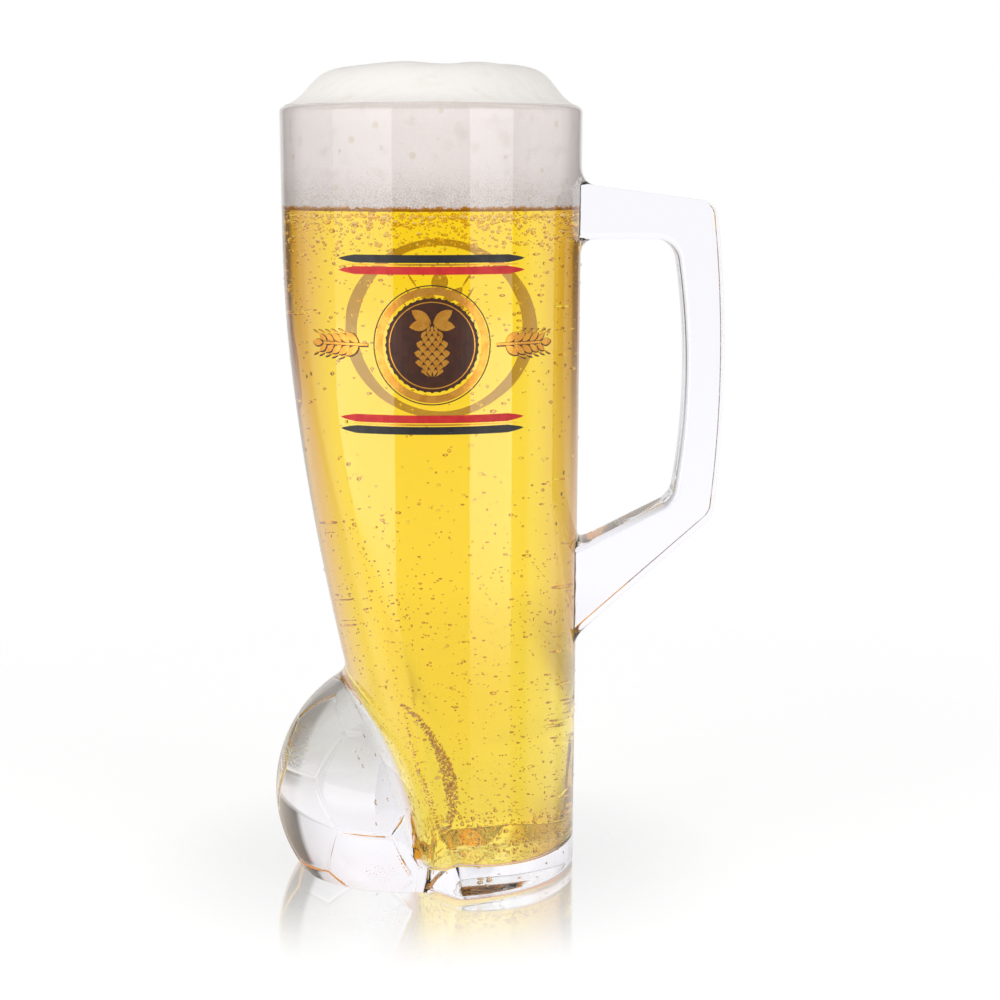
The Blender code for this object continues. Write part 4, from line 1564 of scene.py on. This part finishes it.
arc_bubbles = scattered(
    crease_skin("bubbles_arc", bulge=4.4 * MM, most=1.3 * MM),
    form=bubble_form, finish=CROWDED_PAINTED_SHADE, low=0.0, high=HOSE_TOP,
    density_low=4.2e6, density_high=4.2e6, patch_size=3 * MM, patchiness=0.4,
    smallest=0.14 * MM, largest=0.40 * MM, depth=1 * MM, seed=9,
)
crease_bubbles = scattered(
    crease_skin("bubbles_crease", bulge=0.0, most=0.4 * MM),
    form=bubble_form, finish=CROWDED_PAINTED_SHADE, low=0.0, high=HOSE_TOP,
    density_low=3.0e6, density_high=3.0e6, patch_size=3 * MM, patchiness=0.5,
    smallest=0.12 * MM, largest=0.26 * MM, depth=0.0, seed=12,
)
bpy.data.objects.remove(bubble_form, do_unlink=True)

# %% [markdown]
# ## Dew on the outside
# The cold mug has beaded over: drops a fraction of a millimetre wide in patches, more of them low on the
# body than high up. A drop is a low dome with its flat side let into the glass.

# %% Dew finish
WATER_IOR = 1.33

dew_material, dew = new_material("dew")
ripple = dew.noise(dew.place()[0], scale=1800.0)
drop_skin = dew.node("ShaderNodeBsdfPrincipled", None, {
    "Base Color": WHITE,
    "Transmission Weight": 1.0,
    "IOR": WATER_IOR,
    "Roughness": 0.0,
    "Normal": dew.bump(ripple, strength=0.2, distance=0.1 * MM),
})
dew.node("ShaderNodeOutputMaterial", None, {"Surface": drop_skin})
print("dew finish:", len(dew.tree.nodes), "nodes")

# %% Dew
DEW_SUNK = 0.03 * MM
DEW_FOOT = 12 * MM
DEW_TOP = 188 * MM
DEW_ROWS = 60

drop_form = small_form("drop_form", around=8, rows=6, flat_below=0.12, rise=0.62)
dew_skin = loft("dew", [section(height, DEW_SUNK) for height in np.linspace(DEW_FOOT, DEW_TOP, DEW_ROWS)])
dew_drops = scattered(
    dew_skin, form=drop_form, finish=dew_material, low=30 * MM, high=185 * MM,
    density_low=3.2e4, density_high=1.6e4, patch_size=16 * MM, patchiness=0.92,
    smallest=0.10 * MM, largest=0.55 * MM, depth=0.0, seed=11,
)
bpy.data.objects.remove(drop_form, do_unlink=True)

# %% [markdown]
# ## The printed design
# Mugs like this carry fired enamel: a film a few hundredths of a millimetre thick. The design is generic:
# a brown medallion with a hop cone between two barley ears, over and under it a pair of stripes in red
# and black with a thin gold one between, and on the far side an oval with an ear in amber, which shows
# through the beer.
# Each colour is drawn flat, as a printer would draw it, sliced into upright strips so that it can bend,
# given its thickness and laid round the wall.

# %% Laying a flat drawing round the wall
PRINT_AZIMUTH = -88 * DEGREE
BACK_AZIMUTH = 90 * DEGREE
PRINT_HEIGHT = BODY_HEIGHT - 57.5 * MM
FILM_OFF_GLASS = 0.04 * MM
FILM_THICKNESS = 0.05 * MM
FILM_LAYER = 1.4 * FILM_THICKNESS
FILM_STRIP = 1.3 * MM


def on_wall(angles, heights, lift):
    """Points of the outer wall in given directions, lifted off it."""
    radius = cone_radius(heights)
    for _ in range(SOLVER_STEPS):
        points = np.stack([radius * np.cos(angles), radius * np.sin(angles), heights], -1)
        radius = radius - wall_distance(points, -lift)
    return np.stack([radius * np.cos(angles), radius * np.sin(angles), heights], -1)


def flat_film(fields):
    """A thin flat film from closed outlines, sliced into upright strips."""
    film = bmesh.new()
    for field in fields:
        film.faces.new([film.verts.new((along, up, 0)) for along, up in field])
    bmesh.ops.remove_doubles(film, verts=film.verts[:], dist=SAME_POINT)
    bmesh.ops.triangulate(film, faces=film.faces[:])
    ends = [vert.co.x for vert in film.verts]
    for place in np.arange(min(ends) + FILM_STRIP / 2, max(ends), FILM_STRIP):
        everything = film.verts[:] + film.edges[:] + film.faces[:]
        bmesh.ops.bisect_plane(
            film, geom=everything, dist=SAME_POINT, plane_co=(place, 0, 0), plane_no=(1, 0, 0)
        )
    drawn = bmesh.ops.extrude_face_region(film, geom=film.faces[:])
    upper = [item for item in drawn["geom"] if isinstance(item, bmesh.types.BMVert)]
    bmesh.ops.translate(film, verts=upper, vec=(0, 0, FILM_THICKNESS))
    bmesh.ops.recalc_face_normals(film, faces=film.faces[:])
    return film


def lay_print(name, fields, azimuth, layer=0):
    """One colour of the print from closed flat outlines; layer 1 lies on layer 0."""
    film = flat_film(fields)
    along, up, lift = np.array([vert.co for vert in film.verts]).T
    lift = lift + FILM_OFF_GLASS + layer * FILM_LAYER
    places = np.empty((len(along), 3))
    for level in np.unique(lift):
        chosen = lift == level
        turns = azimuth + along[chosen] / cone_radius(PRINT_HEIGHT)
        places[chosen] = on_wall(turns, PRINT_HEIGHT + up[chosen], level)
    for vert, place in zip(film.verts, places):
        vert.co = place
    mesh = bpy.data.meshes.new(name)
    film.to_mesh(mesh)
    film.free()
    piece = bpy.data.objects.new(name, mesh)
    scene.collection.objects.link(piece)
    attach(piece, "root")
    print(name + ":", len(mesh.polygons), "faces")
    return piece


# %% Flat shapes of the print
OVAL_STEPS = 120
LEAF_STEPS = 9
LEAF_FULLNESS = 0.8


def oval(half_width, half_height, scallops=0, depth=0.0):
    """Points round an oval, with small scallops along its edge."""
    turns = np.linspace(0, 2 * math.pi, OVAL_STEPS, endpoint=False)
    share = 1 - depth * (0.5 - 0.5 * np.cos(scallops * turns))
    return np.stack([half_width * share * np.cos(turns), half_height * share * np.sin(turns)], -1)


def band(half_width, half_height, width):
    """Four-sided fields between an oval and a wider one."""
    inner = oval(half_width, half_height)
    outer = oval(half_width + width, half_height + width)
    sides = zip(inner, outer, np.roll(outer, -1, axis=0), np.roll(inner, -1, axis=0))
    return [list(side) for side in sides]


def turned(points, turn, shift):
    """Flat points turned about the origin, then shifted."""
    cosine, sine = math.cos(turn), math.sin(turn)
    return np.asarray(points) @ np.array([[cosine, sine], [-sine, cosine]]) + np.asarray(shift)


def leaf(length, width, turn, shift, margin=0.0):
    """Pointed oval from its root, which may be drawn with a margin round it."""
    shares = np.linspace(0, 1, LEAF_STEPS)
    along = -margin + (length + 2 * margin) * shares
    side = (width / 2 + margin) * np.sin(math.pi * shares) ** LEAF_FULLNESS
    upper = np.stack([along, side], -1)
    lower = np.stack([along, -side], -1)[::-1][1:-1]
    return turned(np.concatenate([upper, lower])[::-1], turn, shift)


# %% A barley ear drawn flat
EAR_STALK = 0.15
EAR_TAPER = 0.35
EAR_STEM = 0.28 * MM
GRAIN_LEAN = 33 * DEGREE
GRAIN_OFF_STEM = 0.45 * MM
GRAIN_LENGTH = 1.75
GRAIN_WIDTH = 0.43
AWN_LEAN = 20 * DEGREE
AWN_LENGTH = 0.95
AWN_WIDTH = 0.35 * MM
AWN_MARGIN = 0.4
TIP_LENGTH = 1.6
TIP_WIDTH = 0.40
TIP_BACK = 1.45


def grains(length, pairs, half_width, margin=0.0):
    """The leaves of a barley ear along +X: pairs of grains with awns, and one grain at the tip."""
    stalk = EAR_STALK * length
    pitch = (length - stalk) / (pairs + 1)
    fields = []
    for index in range(pairs):
        root = stalk + index * pitch
        size = 1 - EAR_TAPER * index / pairs
        long = GRAIN_LENGTH * pitch * size
        for side in (1, -1):
            turn = side * GRAIN_LEAN
            start = (root, side * GRAIN_OFF_STEM)
            fields.append(leaf(long, GRAIN_WIDTH * half_width * size, turn, start, margin))
            tip = turned([(long + 2 * margin, 0)], turn, start)[0]
            fields.append(leaf(AWN_LENGTH * pitch, AWN_WIDTH, side * AWN_LEAN, tip, AWN_MARGIN * margin))
    last = (length - TIP_BACK * pitch, 0)
    fields.append(leaf(TIP_LENGTH * pitch, TIP_WIDTH * half_width, 0, last, margin))
    stem = EAR_STEM + margin
    end = length - TIP_LENGTH * pitch
    fields.append(np.array([(0, -stem), (end, -stem), (end, stem), (0, stem)]))
    return fields


# %% A hop cone drawn flat
HOP_SCALE = np.array([(-0.44, 0.1), (-0.26, -0.22), (0, -0.44), (0.26, -0.22), (0.44, 0.1), (0, 0.36)])
HOP_COLUMNS = np.array([-1.5, -0.5, 0.5, 1.5])
HOP_PITCH = 0.5
HOP_CROWN = 0.6
HOP_WIDEST = 0.8
HOP_FULLNESS = 0.7


def hop_cone(rows, width, height):
    """Scales of a hop cone: pointed tiles on a lattice that is widest above its middle."""
    fields = []
    for row in range(rows):
        for across in HOP_COLUMNS + HOP_PITCH * (row % 2):
            if across > HOP_COLUMNS[-1]:
                continue
            points = HOP_SCALE + np.array([across, HOP_PITCH * (row + 1)])
            share = points[:, 1] / (HOP_PITCH * rows + HOP_CROWN)
            narrow = np.sin(math.pi * np.clip(share, 0, 1) ** HOP_WIDEST) ** HOP_FULLNESS
            side = points[:, 0] * narrow * width / len(HOP_COLUMNS)
            fields.append(np.stack([side, (share - 0.5) * height], -1))
    return fields


# %% [markdown]
# ## Fired colours
# Enamel is ground glass with pigment, printed through a screen and melted on. It is never quite even:
# its tone is cloudy, its gloss is worn in places and the screen leaves a fine grain. One function makes
# all five colours. Gold is partly metallic, and the amber on the back lets light through, as a thin
# layer does.

# %% Enamel finishes
CLOUD_TONES = (0.35, 0.7)
CLOUD_ROUGHNESS = 0.16
WORN_EDGE = (0.62, 0.74)
WORN_ROUGHNESS = 0.10


def enamel(name, base, deep, metallic=0.0, roughness=0.35, alpha=1.0):
    """Fired colour: cloudy in tone, a little rough, with the fine grain of a printing screen."""
    material, fired = new_material(name)
    at = fired.place()[0]
    cloud = fired.noise(at, scale=420.0, detail=3.0)
    screen = fired.noise(at, scale=5200.0, detail=1.0)
    worn = fired.step(fired.noise(at, scale=900.0, detail=4.0, roughness=0.65), *WORN_EDGE)
    surface = fired.node("ShaderNodeBsdfPrincipled", None, {
        "Base Color": fired.mix(fired.step(cloud, *CLOUD_TONES), colour(*base), colour(*deep)),
        "Metallic": metallic,
        "Roughness": roughness + CLOUD_ROUGHNESS * cloud + WORN_ROUGHNESS * worn,
        "Specular IOR Level": 0.3,
        "Normal": fired.bump(screen, strength=0.25, distance=0.05 * MM),
        "Alpha": alpha,
    })
    fired.node("ShaderNodeOutputMaterial", None, {"Surface": surface})
    return material


GOLD = enamel("gold_enamel_fired", (0.66, 0.31, 0.045), (0.54, 0.22, 0.028), metallic=0.6, roughness=0.18)
BROWN = enamel("brown_enamel_fired", (0.060, 0.018, 0.008), (0.040, 0.012, 0.006), roughness=0.25)
RED = enamel("red_enamel_fired", (0.60, 0.022, 0.020), (0.50, 0.012, 0.012))
BLACK = enamel("black_enamel_fired", (0.020, 0.018, 0.016), (0.012, 0.010, 0.010))
AMBER = enamel("amber_enamel_fired", (0.85, 0.26, 0.02), (0.70, 0.18, 0.015), roughness=0.4, alpha=0.42)
print("enamels:", [paint.name for paint in (GOLD, BROWN, RED, BLACK, AMBER)])

# %% [markdown]
# ## Front and back of the print
# Each field of colour is a piece of its own. Gold that stands on brown lies one layer higher, so that no
# two films share a place. The ears have a brown outline, shifted a little like a shadow, which sets them
# off against the beer.

# %% Medallion and ring
MEDALLION_RADIUS = 11.5 * MM
MEDALLION_SCALLOPS = 40
SCALLOP_DEPTH = 0.03
RING_INSIDE = MEDALLION_RADIUS + 0.6 * MM
RING_WIDTH = 1.8 * MM
RING_OUTSIDE = RING_INSIDE + RING_WIDTH
HAIRLINE = 0.28 * MM


def dress(piece, material, slot, *nodes):
    """Give a print its colour and hide the imported nodes it replaces."""
    piece.data.materials.append(material)
    if nodes:
        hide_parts(*nodes)


disc = [oval(MEDALLION_RADIUS, MEDALLION_RADIUS, MEDALLION_SCALLOPS, SCALLOP_DEPTH)]
disc += band(RING_OUTSIDE + HAIRLINE, RING_OUTSIDE + HAIRLINE, HAIRLINE)
dress(lay_print("medallion", disc, PRINT_AZIMUTH), BROWN, "brown_enamel", "print_medallion")
ring = band(RING_INSIDE, RING_INSIDE, RING_WIDTH)
dress(lay_print("medallion_ring", ring, PRINT_AZIMUTH), GOLD, "gold_enamel", "print_ring")

# %% Hop cone with its leaves
HOP_ROWS = 10
HOP_WIDTH = 9.0 * MM
HOP_HEIGHT = 13.0 * MM
HOP_SHIFT = np.array([0, -1.2 * MM])
LEAF_LENGTH = 5.6 * MM
LEAF_WIDTH = 2.7 * MM
LEAF_ROOT = (0.25 * MM, 5.3 * MM)
LEAVES = ((56 * DEGREE, LEAF_LENGTH), (100 * DEGREE, 0.95 * LEAF_LENGTH))
INNER_LINE = 0.89 * MEDALLION_RADIUS

motif = [scale + HOP_SHIFT for scale in hop_cone(HOP_ROWS, HOP_WIDTH, HOP_HEIGHT)]
for side in (1, -1):
    for droop, length in LEAVES:
        root = (side * LEAF_ROOT[0], LEAF_ROOT[1])
        motif.append(leaf(length, LEAF_WIDTH, math.pi / 2 - side * droop, root))
motif += band(INNER_LINE, INNER_LINE, HAIRLINE)
dress(lay_print("medallion_hop", motif, PRINT_AZIMUTH, layer=1), GOLD, "gold_enamel")

# %% Barley ears
EAR_ROOT = RING_OUTSIDE + 2.0 * MM
EAR_LENGTH = 17.0 * MM
EAR_HALF_WIDTH = 4.2 * MM
EAR_PAIRS = 5
EAR_OUTLINE = 0.22 * MM
SHADOW_SHIFT = np.array([0.14 * MM, -0.14 * MM])

ear = grains(EAR_LENGTH, EAR_PAIRS, EAR_HALF_WIDTH)
wider_ear = grains(EAR_LENGTH, EAR_PAIRS, EAR_HALF_WIDTH, EAR_OUTLINE)
for name, turn, side in (("right", 0.0, 1), ("left", math.pi, -1)):
    root = (side * EAR_ROOT, 0)
    shadow = [turned(field, turn, root) + SHADOW_SHIFT for field in wider_ear]
    dress(lay_print("ear_shadow_" + name, shadow, PRINT_AZIMUTH), BROWN, "brown_enamel")
    gilt = [turned(field, turn, root) for field in ear]
    dress(lay_print("ear_" + name, gilt, PRINT_AZIMUTH, layer=1), GOLD, "gold_enamel", "print_ear_" + name)

# %% Stripes
STRIPE_LENGTH = 48.0 * MM
STRIPE_HEIGHT = 1.9 * MM
STRIPE_GAP = 0.9 * MM
STRIPE_MARGIN = 3.0 * MM
STRIPE_STEPS = 40
STRIPE_TAPER = 5
STRIPE_FULLNESS = 0.7
THIN_LENGTH = 0.94 * STRIPE_LENGTH
THIN_HEIGHT = 0.4 * MM


def stripe(height, thick, length):
    """Straight stripe with drawn-out points at both ends."""
    shares = np.linspace(-1, 1, STRIPE_STEPS + 1)
    along = length / 2 * shares
    rise = thick / 2 * np.clip((1 - np.abs(shares)) * STRIPE_TAPER, 0, 1) ** STRIPE_FULLNESS
    upper = np.stack([along, height + rise], -1)
    lower = np.stack([along, height - rise], -1)[::-1][1:-1]
    return np.concatenate([upper, lower])[::-1]


first = RING_OUTSIDE + STRIPE_MARGIN + STRIPE_HEIGHT / 2
second = first + STRIPE_HEIGHT + STRIPE_GAP
for name, side in (("upper", 1), ("lower", -1)):
    for tint, place, enamel_colour in (("red", first, RED), ("black", second, BLACK)):
        flat = [stripe(side * place, STRIPE_HEIGHT, STRIPE_LENGTH)]
        made = lay_print(f"stripe_{tint}_{name}", flat, PRINT_AZIMUTH)
        dress(made, enamel_colour, f"{tint}_enamel", f"print_stripe_{tint}_{name}")
    thin = [stripe(side * (first + second) / 2, THIN_HEIGHT, THIN_LENGTH)]
    dress(lay_print("stripe_gold_" + name, thin, PRINT_AZIMUTH), GOLD, "gold_enamel")

# %% Print on the back
BACK_HALF_WIDTH = 12.0 * MM
BACK_HALF_HEIGHT = 22.0 * MM
BACK_EAR_LENGTH = 30.0 * MM
BACK_EAR_HALF_WIDTH = 1.5 * EAR_HALF_WIDTH

oval_ring = band(BACK_HALF_WIDTH, BACK_HALF_HEIGHT, RING_WIDTH)
dress(lay_print("back_oval", oval_ring, BACK_AZIMUTH), AMBER, "amber_enamel", "print_back_oval")
back_ear = grains(BACK_EAR_LENGTH, EAR_PAIRS, BACK_EAR_HALF_WIDTH)
back_ear = [turned(field, math.pi / 2, (0, -BACK_EAR_LENGTH / 2)) for field in back_ear]
dress(lay_print("back_ear", back_ear, BACK_AZIMUTH), AMBER, "amber_enamel", "print_back_ear")

# %% [markdown]
# ## Sizes
# The boxes of the imported model and of the dressed one are written side by side, to show that nothing
# stands proud of the real sizes.

# %% Compare the boxes
boxes = {"cad": CAD_BOX, "visual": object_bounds()}
boxes = {name: [list(corner) for corner in box] for name, box in boxes.items()}
print(boxes)
